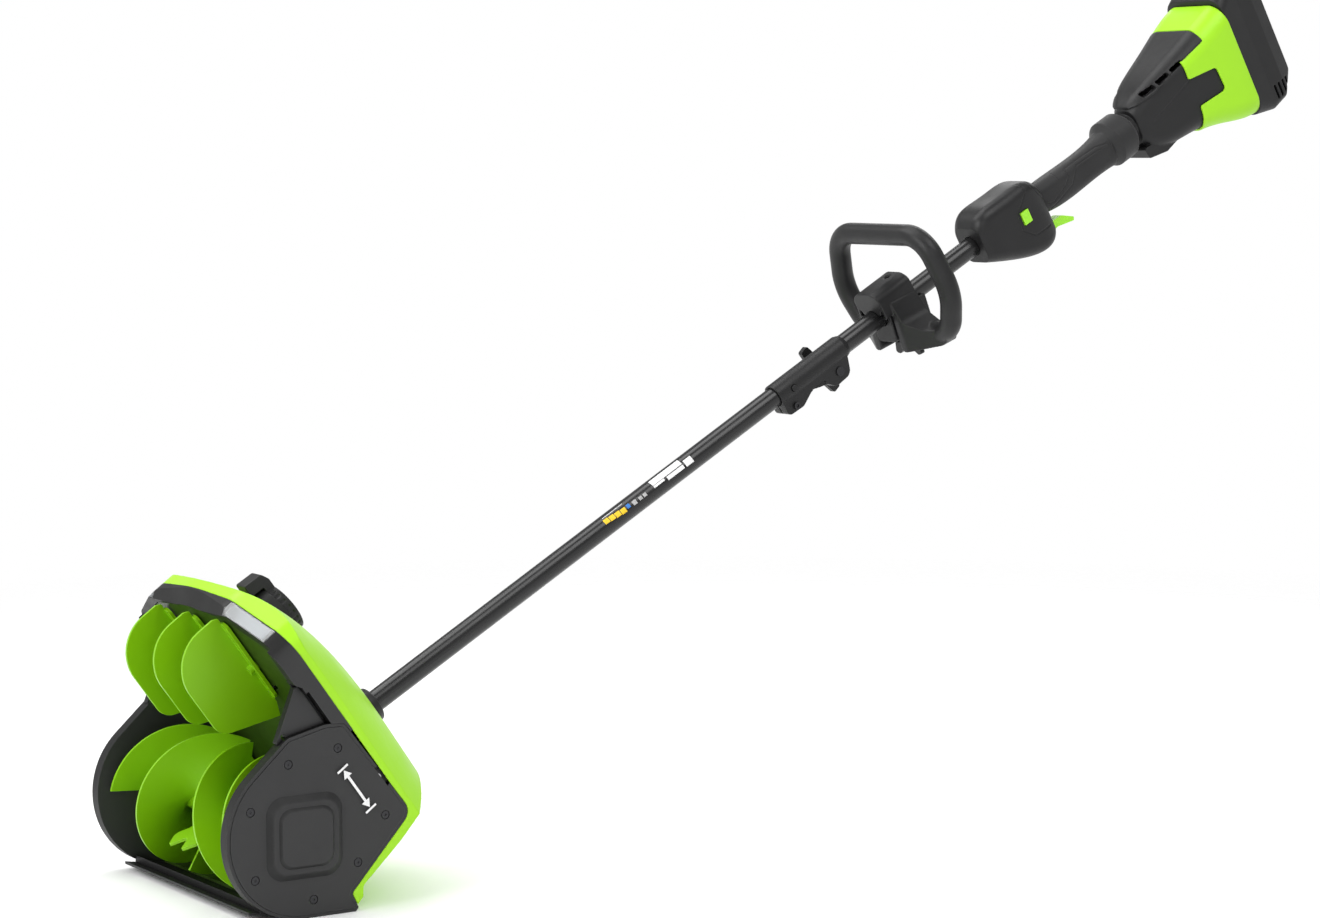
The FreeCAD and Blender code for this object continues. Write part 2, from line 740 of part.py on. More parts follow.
def ribbed_profile(radius, width, ribs, depth):
    """Outline of a pulley rim with round-the-rim V grooves, as (radius, z) corners."""
    pitch = (width - 2) / ribs
    points = [(radius, 0), (radius, 1)]
    for index in range(ribs):
        start = 1 + index * pitch
        points.append((radius - depth, start + pitch / 2))
        points.append((radius, start + pitch))
    points.append((radius, width))
    return points


def make_pulley(label, placement, radius, bore):
    profile = ribbed_profile(radius, 8, 4, 1.0)
    corners = [(bore, 0, 0)] + [(r, z, 0) for r, z in profile] + [(bore, 8, 0)]
    turned(label, placement, corners)


def belt_loop(offset):
    """The belt's closed outline round both pulleys, in head coordinates."""
    large = dim("auger_pulley_radius") + offset
    small = dim("drive_pulley_radius") + offset
    span = math.hypot(cross_centre.x, cross_centre.y)
    heading = math.atan2(cross_centre.y, cross_centre.x)
    spread = math.acos((large - small) / span)

    def at(radius, angle, centre):
        return centre + V(radius * math.cos(angle), radius * math.sin(angle), 0)

    origin = V(0, 0, 0)
    upper, lower = heading + spread, heading - spread
    edges = [
        Part.LineSegment(at(large, upper, origin), at(small, upper, cross_centre)),
        Part.Arc(at(small, upper, cross_centre), at(small, heading, cross_centre), at(small, lower, cross_centre)),
        Part.LineSegment(at(small, lower, cross_centre), at(large, lower, origin)),
        Part.Arc(at(large, lower, origin), at(large, heading + math.pi, origin), at(large, upper, origin)),
    ]
    return edges


def make_belt_drive():
    near = dim("belt_near")
    make_pulley("auger_pulley", in_side(side=near - 1), dim("auger_pulley_radius"), dim("auger_shaft_dia") / 2)
    make_pulley("drive_pulley", in_head(cross_centre.x, cross_centre.y, near - 1), dim("drive_pulley_radius"),
                dim("cross_shaft_dia") / 2)
    body = new_body("drive_belt", in_head())
    gap = dim("belt_gap")
    outer = belt_loop(gap + dim("belt_thick"))
    inner = belt_loop(gap)
    sketch = new_sketch(body, "XY_Plane", outer + inner, near)
    add_pad(body, sketch, "dims.belt_width")
    round_bar("cross_shaft", in_head(cross_centre.x, cross_centre.y, -26), "dims.cross_shaft_dia / 2", "191")


GEAR_TEETH = 18
PINION_TEETH = 12


def bevel(large, small, depth, teeth, bore):
    """A bevel gear blank with straight teeth cut between its faces, its apex along +z."""
    blank = Part.makeCone(large, small, depth)
    blank = blank.fuse(Part.makeCylinder(large * 0.62, 3, V(0, 0, -3)))
    gap_angle = 360 / teeth
    for index in range(teeth):
        wedge_big = [(large * 0.82, -0.25, 0), (large + 2, -large * 0.17, 0), (large + 2, large * 0.17, 0),
                     (large * 0.82, 0.25, 0)]
        cutter = slab(wedge_big, -0.5, depth + 0.5)
        slope = math.degrees(math.atan2(large - small, depth))
        cutter.rotate(V(large * 0.82, 0, 0), V(0, 1, 0), -slope)
        cutter.rotate(V(0, 0, 0), V(0, 0, 1), index * gap_angle)
        blank = blank.cut(cutter)
    return blank.cut(Part.makeCylinder(bore, depth + 10, V(0, 0, -5)))


def make_gears():
    """Bevel pinion on the drive rod and bevel gear on the cross shaft, their pitch cones a hair apart."""
    large = 13.0
    small = large * PINION_TEETH / GEAR_TEETH
    share = 0.4
    spare = 0.6
    gear = bevel(large, large * (1 - share), small * share, GEAR_TEETH, dim("cross_shaft_dia") / 2)
    gear.rotate(V(0, 0, 0), V(1, 0, 0), 180)
    feature("bevel_gear", in_head(cross_centre.x, cross_centre.y, small + spare), gear)
    pinion = bevel(small, small * (1 - share), large * share, PINION_TEETH, dim("drive_rod") / 2 - 1)
    pinion.rotate(V(0, 0, 0), V(1, 0, 0), 180)
    feature("bevel_pinion", on_shaft(rod_station(cross_centre.x) + large + spare), pinion)


def rod_station(rear):
    """Station along the tube whose distance behind the auger is rear."""
    return (rear - foot_in_head.x) / tube_in_head.x


def make_gear_case():
    """The casting that joins the tube to the cross shaft, behind the auger housing."""
    station = rod_station(cross_centre.x)
    place = on_shaft(station)
    neck = Part.makeCylinder(19, 26.5, V(0, 0, 14))
    box = rod(16, V(-24, 0, 0), V(24, 0, 0)).fuse(Part.makeCylinder(17.5, 20, V(0, 0, 0)))
    case = neck.fuse(box)
    hollow = rod(13.6, V(-17.5, 0, 0), V(20, 0, 0)).fuse(Part.makeCylinder(13.6, 28, V(0, 0, 0)))
    case = case.cut(hollow)
    case = case.cut(rod(8, V(-23, 0, 0), V(-17, 0, 0)))
    case = case.cut(rod(dim("cross_shaft_dia") / 2 + 0.6, V(15, 0, 0), V(40, 0, 0)))
    case = case.cut(rod(dim("cross_shaft_dia") / 2 + 0.6, V(-40, 0, 0), V(0, 0, 0)))
    case = case.cut(Part.makeCylinder(dim("drive_rod") / 2 + 0.6, 60, V(0, 0, 10)))
    case = case.cut(Part.makeCylinder(dim("tube_outer") / 2, 40, V(0, 0, dim("lower_tube_start") - station)))
    feature("gear_case", place, case)


def make_collar():
    """The round boss where the tube enters the shell."""
    bore = dim("tube_outer") / 2
    turned("shaft_collar", on_shaft(0), [(bore, -46, 0), (23.4, -46, 0), (23.4, 4, 3), (20.5, 11.5, 2), (bore, 11.5, 0)])


# ---------------------------------------------------------------- tube line

BUTTON_STATION = 679


def make_tubes():
    outer = "dims.tube_outer / 2"
    inner = "dims.tube_outer / 2 - dims.tube_wall"
    lower = tube("lower_tube_blank", on_shaft(dim("lower_tube_start")), outer, inner,
                 "dims.lower_tube_end - dims.lower_tube_start")
    nodes.remove(lower)
    drilled = doc.addObject("Part::Cut", "lower_tube")
    drilled.Base = lower
    drilled.Tool = cylinder("button_hole", on_shaft(BUTTON_STATION) * Placement(V(0, 0, 0), Rotation(V(0, 1, 0), 90)),
                            "4.1", "20")
    register(drilled, "lower_tube")
    tube("upper_tube", on_shaft(dim("upper_tube_start")), outer, inner,
         "dims.upper_tube_end - dims.upper_tube_start")


def make_drive_rods():
    """The rod inside each tube: the lower ends in a square tongue, the upper in a square socket."""
    radius = dim("drive_rod") / 2
    start = rod_station(cross_centre.x) + 12
    joint = 706
    lower = Part.makeCylinder(radius - 1, 16, V(0, 0, start)).fuse(
        Part.makeCylinder(radius, joint - 22 - start - 16, V(0, 0, start + 16)))
    lower = lower.fuse(slab([(-2.4, -2.4, 0), (2.4, -2.4, 0), (2.4, 2.4, 0), (-2.4, 2.4, 0)], joint - 22, joint))
    feature("lower_drive_rod", on_shaft(0), lower)
    upper = Part.makeCylinder(7, 30, V(0, 0, joint - 21)).fuse(
        Part.makeCylinder(radius, 1420 - joint - 9, V(0, 0, joint + 9)))
    upper = upper.cut(slab([(-2.6, -2.6, 0), (2.6, -2.6, 0), (2.6, 2.6, 0), (-2.6, 2.6, 0)], joint - 22, joint + 2))
    feature("upper_drive_rod", on_shaft(0), upper)


def make_bushes():
    """Plastic bushes that carry the rods inside the tubes."""
    outer = dim("tube_outer") / 2 - dim("tube_wall") - 0.02
    inner = dim("drive_rod") / 2 + dim("rod_clearance")
    stations = (40, 250, 460, 650, 790, 960, 1130, 1296)
    group("rod_bushes", on_shaft(0), [pipe(outer, inner, V(0, 0, z), V(0, 0, z + 14)) for z in stations])


def make_coupler():
    """The split sleeve over the tube joint, with a clamp bracket below and a lock-button hole."""
    radius = dim("sleeve_radius")
    start = dim("sleeve_start")
    end = dim("sleeve_end")
    sleeve = Part.makeCylinder(radius, end - start - 6, V(0, 0, start))
    sleeve = sleeve.fuse(Part.makeCone(radius, 13.6, 6, V(0, 0, end - 6)))
    outline = [(3, 657, 0), (27, 657, 6), (28, 682, 8), (18, 702, 12), (24, 726, 8), (34, 736, 10), (32, 762, 11),
               (12, 768, 4), (3, 768, 0)]
    bracket = slab(outline, -13.5, 13.5)
    bracket = cycled(bracket)
    web = slab([(16.5, 690, 1), (21, 718, 2), (24, 732, 2), (17, 722, 2)], 11.5, 20)
    web = cycled(web)
    body = sleeve.fuse(bracket).cut(web)
    body = body.cut(block(V(-1, 8, start - 1), V(1, 40, end - 20)))
    body = body.cut(Part.makeCylinder(dim("tube_outer") / 2, end - start + 2, V(0, 0, start - 1)))
    body = body.cut(rod(3.1, V(-20, 20, 749), V(20, 20, 749)))
    body = body.cut(rod(2.6, V(-20, 21, 672), V(20, 21, 672)))
    body = body.cut(rod(4.2, V(0, 0, BUTTON_STATION), V(20, 0, BUTTON_STATION)))
    feature("coupler_sleeve", on_shaft(0), body)
    clamp_bolt = rod(3, V(-30, 20, 749), V(14.6, 20, 749)).fuse(rod(6, V(13.6, 20, 749), V(15.2, 20, 749)))
    bolt = rod(2.5, V(-16, 21, 672), V(14, 21, 672)).fuse(
        rod(4.4, V(13.6, 21, 672), V(16.4, 21, 672)).cut(rod(2.2, V(15, 21, 672), V(17, 21, 672))))
    bolt = bolt.fuse(rod(4.4, V(-17, 21, 672), V(-13.6, 21, 672)))
    group("coupler_bolts", on_shaft(0), [clamp_bolt, bolt])
    button = rod(3.9, V(9, 0, BUTTON_STATION), V(17, 0, BUTTON_STATION))
    feature("lock_button", on_shaft(0), button)


def make_coupler_knob():
    """The two-winged nut on the far end of the coupler's clamp bolt."""
    hub = rod(8.5, V(-34, 0, 0), V(-13.9, 0, 0))
    wing = cycled(slab([(-36, -6, 3), (-10, -9, 6), (10, -9, 6), (36, -6, 3), (36, 6, 3), (10, 9, 6), (-10, 9, 6),
                        (-36, 6, 3)], -33, -26))
    knob = hub.fuse(wing).cut(rod(3.02, V(-31, 0, 0), V(-10, 0, 0)))
    knob.rotate(V(0, 0, 0), V(1, 0, 0), 16)
    knob.translate(V(0, 20, 749))
    feature("coupler_knob", on_shaft(0), knob)


# ---------------------------------------------------------------- loop handle

def loop_solid(radius):
    """The bent tube of the loop, swept along straight runs and tangent arcs."""
    wide = dim("loop_half_width")
    top = dim("loop_top")
    bottom = dim("loop_bottom")
    half = [(30, bottom + 4, 0), (82, bottom + 2, 34), (wide + 3, 16, 60), (wide - 20, top - 2, 40)]
    corners = half + [(-x, y, r) for x, y, r in reversed(half)]
    pieces = rounded(corners)[:-1]
    path = Part.Wire([piece.toShape() for piece in pieces])
    section = Part.Wire(Part.makeCircle(radius, V(30, bottom + 4, 0), V(1, -0.04, 0)))
    return path.makePipeShell([section], True, True)


def loop_place():
    base = on_shaft(dim("loop_station"))
    lean = Placement(V(0, 0, 0), Rotation(V(1, 0, 0), 180 - dim("loop_lean")))
    return Placement(base.Base, base.Rotation * lean.Rotation)


def make_handle():
    """The loop with its moulded clamp block, the cap below the tube and the fixing bolt."""
    place = loop_place()
    into = place.inverse() * on_shaft(0)
    bore = rod(dim("tube_outer") / 2 + 0.15, V(0, 0, 780), V(0, 0, 980))
    bore = moved(bore, into)
    wedge = slab([(-27, 1.5, 4), (27, 1.5, 4), (25, 31, 12), (13, 37, 8), (-13, 37, 8), (-25, 31, 12)], 0, 56)
    for side in (1, -1):
        wedge = wedge.cut(slab([(15 * side, 4, 1), (23.5 * side, 4, 1), (21 * side, 16, 1)], 42, 58))
    block = into * Placement(V(0, 0, 890), Rotation(V(1, 0, 0), 180))
    wedge = moved(wedge, block)
    loop = loop_solid(dim("loop_tube_radius"))
    lug = slab([(20, -54, 6), (76, -53, 10), (84, -33, 5), (58, -30, 22), (36, -16, 18), (27, 12, 0), (22, 12, 0)],
               -11, 36)
    slant = slab([(18, 34, 0), (32, 34, 12), (74, 9, 12), (90, 9, 0), (90, 60, 0), (18, 60, 0)], -60, 80)
    lug = lug.cut(moved(slant, Placement(V(0, 0, 0), Rotation(V(1, 0, 0), 90))))
    lug = lug.cut(moved(slab([(0, -90, 0), (120, -90, 0), (120, 60, 0), (0, 60, 0)], -80, 0), block))
    lug = lug.cut(moved(slab([(0, -90, 0), (120, -90, 0), (120, 60, 0), (0, 60, 0)], 56, 120), block))
    lugs = lug.fuse(lug.mirror(V(0, 0, 0), V(1, 0, 0)))
    handle = joined([loop, wedge, lugs])
    window = slab([(-19.6, -70, 0), (19.6, -70, 0), (19.6, 0.8, 0), (-19.6, 0.8, 0)], -60, 60)
    screw_hole = rod(4, V(0, 20, 8), V(0, 60, 8))
    handle = handle.cut(window).cut(bore).cut(screw_hole)
    feature("handle_loop", place, handle)
    cap = slab([(-19, -40, 6), (19, -40, 6), (19, 0.2, 1), (-19, 0.2, 1)], -26, 36)
    cap = cap.cut(bore)
    cap = cap.cut(rod(3.1, V(0, -60, 8), V(0, -12, 8)))
    feature("handle_cap", place, cap)
    hub = rod(8, V(0, -58, 8), V(0, -41, 8))
    wings = slab([(-26, -66, 3), (-22, -52, 3), (22, -52, 3), (26, -66, 3), (18, -68, 3), (8, -60, 3), (-8, -60, 3),
                  (-18, -68, 3)], 5, 11)
    stud = rod(3, V(0, -60, 8), V(0, -15, 8))
    knob = hub.fuse(wings).fuse(stud)
    feature("handle_wing_knob", place, knob)


# ---------------------------------------------------------------- switch housing and grip

def section_ring(half_x, top, bottom, corner, station):
    """A rounded cross-section of a moulding, square to the tube; top and bottom are heights off its axis."""
    wire = wire_of([(-half_x, -top, corner), (half_x, -top, corner), (half_x, -bottom, corner),
                    (-half_x, -bottom, corner)])
    wire.translate(V(0, 0, station))
    return wire


def loft(sections, ruled=False):
    return Part.makeLoft([section_ring(*section) for section in sections], True, ruled)


def make_switch_housing():
    """Two clam-shell halves round the tube, swelling down over the trigger's hinge."""
    start = dim("switch_start")
    end = dim("switch_end")
    outside = loft([(24, 26, -24, 14, start), (29, 37, -30, 15, start + 12), (30, 40, -52, 16, start + 60),
                    (28, 38, -59, 14, start + 95), (20, 20, -50, 12, end)])
    inside = loft([(20, 22, -20, 12, start + 3), (26, 34, -27, 13, start + 14), (27, 37, -49, 14, start + 60),
                   (25, 35, -56, 12, start + 93), (17, 17, -47, 10, end - 3)])
    shell = outside.cut(inside)
    collar = Part.makeCylinder(16, 10, V(0, 0, start + 1)).fuse(Part.makeCylinder(17, 10, V(0, 0, end - 12)))
    shell = shell.fuse(collar.common(outside))
    shell = shell.cut(Part.makeCylinder(dim("tube_outer") / 2, 300, V(0, 0, start - 50)))
    shell = shell.cut(block(V(-9, 32, end - 34), V(9, 70, end + 10)))
    left_window = block(V(14, -9, start + 66), V(40, 9, start + 80))
    left = shell.common(block(V(0.05, -90, start - 20), V(60, 90, end + 20))).cut(left_window)
    right = shell.common(block(V(-60, -90, start - 20), V(-0.05, 90, end + 20)))
    feature("switch_housing_left", on_shaft(0), left)
    feature("switch_housing_right", on_shaft(0), right)
    button = block(V(20, -8.4, start + 66.6), V(31.5, 8.4, start + 79.4))
    feature("lock_out_button", on_shaft(0), button)
    micro = block(V(-7, 21, start + 48), V(7, 36, start + 74))
    feature("trigger_switch", on_shaft(0), micro)


TRIGGER_PIVOT = V(0, 44, 1103)


def make_trigger():
    """The long trigger lever hinged at the rear of the switch housing, under the grip."""
    arm = cycled(slab([(37, 1097, 3), (37.5, 1152, 12), (50, 1170, 1.5), (54.5, 1168, 1.5), (47.5, 1140, 12),
                       (51, 1126, 3), (60, 1119, 1.5), (58, 1111, 2), (50, 1097, 3)], -7.5, 7.5))
    reach = V(22, 0, 0)
    arm = arm.cut(rod(2.05, TRIGGER_PIVOT - reach, TRIGGER_PIVOT + reach))
    feature("trigger", on_shaft(0), arm)
    feature("trigger_pin", on_shaft(0), rod(2, TRIGGER_PIVOT - reach, TRIGGER_PIVOT + reach))


def make_grip():
    """The soft rear grip over the tube, with the thick end collar behind it."""
    start = dim("switch_end")
    radius = dim("grip_radius")
    bore = dim("tube_outer") / 2
    outside = loft([(16, 17, -22, 13, start + 0.3), (17, 17, -27, 14, start + 30), (17, 17, -27, 14, 1240),
                    (19, 20, -28, 15, 1262)])
    collar = rod(31.5, V(0, 2, 1270), V(0, 2, 1296))
    collar = collar.fuse(Part.makeCone(22, 31.5, 8, V(0, 2, 1262), V(0, 0, 1)))
    collar = collar.fuse(Part.makeCone(31.5, 25, 7, V(0, 2, 1296), V(0, 0, 1)))
    grip = joined([outside, collar]).cut(Part.makeCylinder(bore, 400, V(0, 0, start - 20)))
    feature("rear_grip", on_shaft(0), grip)


# ---------------------------------------------------------------- motor, dock and battery

MOTOR_SECTIONS = [
    (20, 24, -26, 16, 1312),
    (30, 36, -42, 20, 1330),
    (42, 52, -50, 24, 1380),
    (50, 66, -60, 26, 1430),
    (54, 80, -76, 26, 1486),
]


def vent_cover():
    """The raised cover along the top of the motor housing, stepped at its lower edges."""
    raised = loft([(w + 3.4, t + 3.6, b, c + 2, z) for w, t, b, c, z in MOTOR_SECTIONS])
    outline = [(-26, 1313, 0), (-31, 1345, 0), (-46.5, 1394, 0), (-56, 1438, 2), (-120, 1440, 0),
               (-120, 1318, 0), (-30, 1313, 0)]
    return raised.common(cycled(slab(outline, -90, 90)))


def vent_slots():
    """Three air slots in a row above each lower edge of the vent cover."""
    slots = []
    for index in range(3):
        slot = block(V(14, -3.2, -10), V(70, 3.2, 10))
        slot.rotate(V(0, 0, 0), V(1, 0, 0), 10.5)
        slot.translate(V(0, -36.5 - index * 4.4, 1341 + index * 24))
        slots.append(slot)
    return slots


def make_motor_housing():
    """The flared motor housing behind the grip, split left and right, with a lime rear cover over it."""
    outside = loft(MOTOR_SECTIONS)
    inside = loft([(w - 3, t - 3, b + 3, c - 3, z) for w, t, b, c, z in MOTOR_SECTIONS])
    inside = inside.common(block(V(-90, -120, 1317), V(90, 120, 1483)))
    neck = pipe(18.5, dim("tube_outer") / 2, V(0, 0, 1303.3), V(0, 0, 1316))
    keel = cycled(slab([(30, 1306, 2), (45, 1309, 3), (52, 1340, 6), (46, 1372, 3), (30, 1378, 0)], -22, 22))
    shell = joined([outside, vent_cover(), keel.cut(inside)]).cut(inside).fuse(neck)
    shell = shell.cut(rod(dim("tube_outer") / 2, V(0, 0, 1290), V(0, 0, 1330)))
    for slot in vent_slots():
        shell = shell.cut(slot).cut(slot.mirror(V(0, 0, 0), V(1, 0, 0)))
    left = shell.common(block(V(0.05, -130, 1290), V(90, 130, 1500)))
    right = shell.common(block(V(-90, -130, 1290), V(-0.05, 130, 1500)))
    feature("motor_housing_left", on_shaft(0), left)
    feature("motor_housing_right", on_shaft(0), right)


def make_lime_cover():
    """The lime saddle that wraps the rear of the motor housing."""
    outer = loft([(w + 3.2, t + 3.2, b - 3.2, c + 3, z) for w, t, b, c, z in MOTOR_SECTIONS])
    inner = loft([(w + 0.3, t + 0.3, b - 0.3, c, z) for w, t, b, c, z in MOTOR_SECTIONS])
    saddle = outer.cut(inner)
    keep = slab([(-120, 1440, 0), (-120, 1485.5, 0), (120, 1485.5, 0), (120, 1404, 0), (40, 1396, 3), (18, 1398, 3),
                 (18, 1442, 6), (-16, 1440, 6), (-22, 1396, 3), (-58, 1398, 3), (-66, 1440, 4)], -90, 90)
    keep = cycled(keep)
    feature("rear_saddle_cover", on_shaft(0), saddle.common(keep).cut(vent_cover()))


def make_motor():
    """Stator, rotor and fan inside the housing."""
    stator = pipe(34, 18, V(0, 0, 1362), V(0, 0, 1402))
    for index in range(12):
        angle = math.radians(index * 30)
        slot = rod(2.6, V(22 * math.cos(angle), 22 * math.sin(angle), 1360),
                   V(22 * math.cos(angle), 22 * math.sin(angle), 1404))
        stator = stator.cut(slot)
    feature("motor_stator", on_shaft(0), stator)
    rotor = rod(17, V(0, 0, 1360), V(0, 0, 1404)).cut(rod(dim("drive_rod") / 2, V(0, 0, 1350), V(0, 0, 1410)))
    feature("motor_rotor", on_shaft(0), rotor)
    hub = pipe(9, dim("drive_rod") / 2, V(0, 0, 1408), V(0, 0, 1418))
    blades = []
    for index in range(9):
        vane = block(V(7, -0.8, 1408), V(30, 0.8, 1417))
        vane.rotate(V(0, 0, 1412), V(1, 0, 0), 24)
        vane.rotate(V(0, 0, 0), V(0, 0, 1), index * 40)
        blades.append(vane)
    feature("motor_fan", on_shaft(0), joined([hub] + blades))


def make_dock():
    """The flared battery dock, open at the top, where the battery slides down into it."""
    start = dim("dock_start")
    end = dim("dock_end")
    outside = loft([(53, 90, -82, 22, start + 0.3), (50, 104, -90, 14, start + 30), (50, 112, -86, 14, end - 22),
                    (44, 112, -62, 12, end)], True)
    cavity = block(V(-40, -130, start + 18), V(40, 56, end - 4))
    board_room = block(V(-36, -42, start - 1), V(36, 42, start + 14))
    dock = outside.cut(cavity).cut(board_room)
    for index in range(4):
        station = start + 36 + index * 8
        slot = block(V(38, 58, station), V(70, 78, station + 3.6))
        dock = dock.cut(slot).cut(slot.mirror(V(0, 0, 0), V(1, 0, 0)))
    feature("battery_dock", on_shaft(0), dock)
    terminals = joined([block(V(-22, 50.5, start + 30), V(22, 55.7, start + 52))] + [
        block(V(x - 1, 40, start + 34), V(x + 1, 51, start + 48)) for x in (-15, -5, 5, 15)])
    feature("battery_terminals", on_shaft(0), terminals)
    board = block(V(-34, -40, start + 9), V(34, 40, start + 11.5))
    feature("control_board", on_shaft(0), board)


def make_battery():
    """The battery pack in the dock, with its latch on top."""
    start = dim("dock_start")
    end = dim("dock_end")
    pack = slab([(-38.8, start + 19.5, 6), (38.8, start + 19.5, 6), (38.8, end - 5, 6), (-38.8, end - 5, 6)],
                -49, 124)
    pack = moved(pack, Placement(V(0, 0, 0), Rotation(V(1, 0, 0), 90)))
    slots = [block(V(x - 1.6, 39, start + 33), V(x + 1.6, 52, start + 49)) for x in (-15, -5, 5, 15)]
    for slot in slots:
        pack = pack.cut(slot)
    pack = pack.cut(block(V(-14, -126, start + 22), V(14, -108, start + 38)))
    feature("battery_pack", on_shaft(0), pack)
    latch = block(V(-13.6, -126.5, start + 22.4), V(13.6, -113.5, start + 37.6))
    feature("battery_latch", on_shaft(0), latch)


# ---------------------------------------------------------------- build, check and write

def build():
    make_outer_shell()
    make_head_frame()
    make_auger_housing()
    make_hood_liner()
    make_side_cover("side_cover_left", False)
    make_side_cover("side_cover_right", True)
    make_cover_screws()
    make_scraper()
    make_lamps()
    make_vanes()
    make_knob()
    make_auger()
    make_bearings()
    make_belt_drive()
    make_gears()
    make_gear_case()
    make_collar()
    make_tubes()
    make_drive_rods()
    make_bushes()
    make_coupler()
    make_coupler_knob()
    make_handle()
    make_switch_housing()
    make_trigger()
    make_grip()
    make_motor_housing()
    make_lime_cover()
    make_motor()
    make_dock()
    make_battery()


def problems():
    """Everything that keeps the part from being written: failed objects and bad shapes."""
    found = [f"{obj.Label}: {obj.State}" for obj in doc.Objects if {"Invalid", "Error"} & set(obj.State)]
    for obj in nodes:
        if obj.Shape.isNull() or not obj.Shape.isValid() or not obj.Shape.Solids:
            found.append(f"{obj.Label}: no valid solid")
    return found


def write():
    os.makedirs("parts", exist_ok=True)
    for obj in nodes:
        print(f"{obj.Label}: {len(obj.Shape.Solids)} solid(s), {obj.Shape.Volume / 1000:.1f} cm3")
        obj.Shape.exportStep(f"parts/{obj.Label}.step")


build()
doc.recompute()
faults = problems()
if faults:
    raise RuntimeError("; ".join(faults))
write()
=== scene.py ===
import json
import math

import bmesh
import bpy
import numpy as np
from mathutils import Matrix, Vector


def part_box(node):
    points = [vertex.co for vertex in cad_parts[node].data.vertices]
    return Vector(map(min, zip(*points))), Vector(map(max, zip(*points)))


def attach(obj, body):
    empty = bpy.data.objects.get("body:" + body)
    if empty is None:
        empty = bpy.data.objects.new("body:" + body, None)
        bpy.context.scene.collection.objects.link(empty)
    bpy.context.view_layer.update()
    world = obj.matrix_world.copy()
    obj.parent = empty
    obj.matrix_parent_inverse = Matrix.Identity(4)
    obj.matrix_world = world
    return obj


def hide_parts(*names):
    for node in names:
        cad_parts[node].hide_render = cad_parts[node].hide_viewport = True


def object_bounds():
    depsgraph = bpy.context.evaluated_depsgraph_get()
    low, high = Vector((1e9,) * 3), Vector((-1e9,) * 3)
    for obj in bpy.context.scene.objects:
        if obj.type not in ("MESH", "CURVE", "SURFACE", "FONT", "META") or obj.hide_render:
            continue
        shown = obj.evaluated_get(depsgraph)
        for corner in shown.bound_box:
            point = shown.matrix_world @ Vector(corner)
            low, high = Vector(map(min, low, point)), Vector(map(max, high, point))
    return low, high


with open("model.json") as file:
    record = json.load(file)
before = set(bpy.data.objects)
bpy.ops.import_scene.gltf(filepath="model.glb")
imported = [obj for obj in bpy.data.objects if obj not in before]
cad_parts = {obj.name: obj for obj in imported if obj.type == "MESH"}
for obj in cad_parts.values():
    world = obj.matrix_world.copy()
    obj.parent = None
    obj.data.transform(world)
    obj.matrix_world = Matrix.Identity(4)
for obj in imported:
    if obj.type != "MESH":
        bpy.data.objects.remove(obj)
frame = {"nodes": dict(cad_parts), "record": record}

nodes = frame["nodes"]
cad_low, cad_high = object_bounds()

MILLIMETRE = 0.001
SAME_PLACE = 0.00001    # vertices nearer than this, in metres, are one


# ---------------------------------------------------------------- places, from the frame

def centre_of(node):
    low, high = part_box(node)
    return (low + high) / 2


# A station is a distance in millimetres along the tube's axis from its foot. The frame's origin is on the
# axis, at the rear grip.
TUBE_RISE = math.radians(30.1)
GRIP_STATION = 1199
along_tube = Vector((0, math.cos(TUBE_RISE), math.sin(TUBE_RISE)))
above_tube = Vector((0, -math.sin(TUBE_RISE), math.cos(TUBE_RISE)))

# The slant of the hood plate, which the side covers' long rear edge follows.
HOOD_TILT = math.radians(54)
down_plate = Vector((0, math.cos(HOOD_TILT), -math.sin(HOOD_TILT)))
behind_plate = Vector((0, math.sin(HOOD_TILT), math.cos(HOOD_TILT)))


def shaft_point(side, up, station):
    """A point from millimetres: to the left, above the tube's axis and along it."""
    return (Vector((side, 0, 0)) + above_tube * up + along_tube * (station - GRIP_STATION)) * MILLIMETRE


# ---------------------------------------------------------------- materials

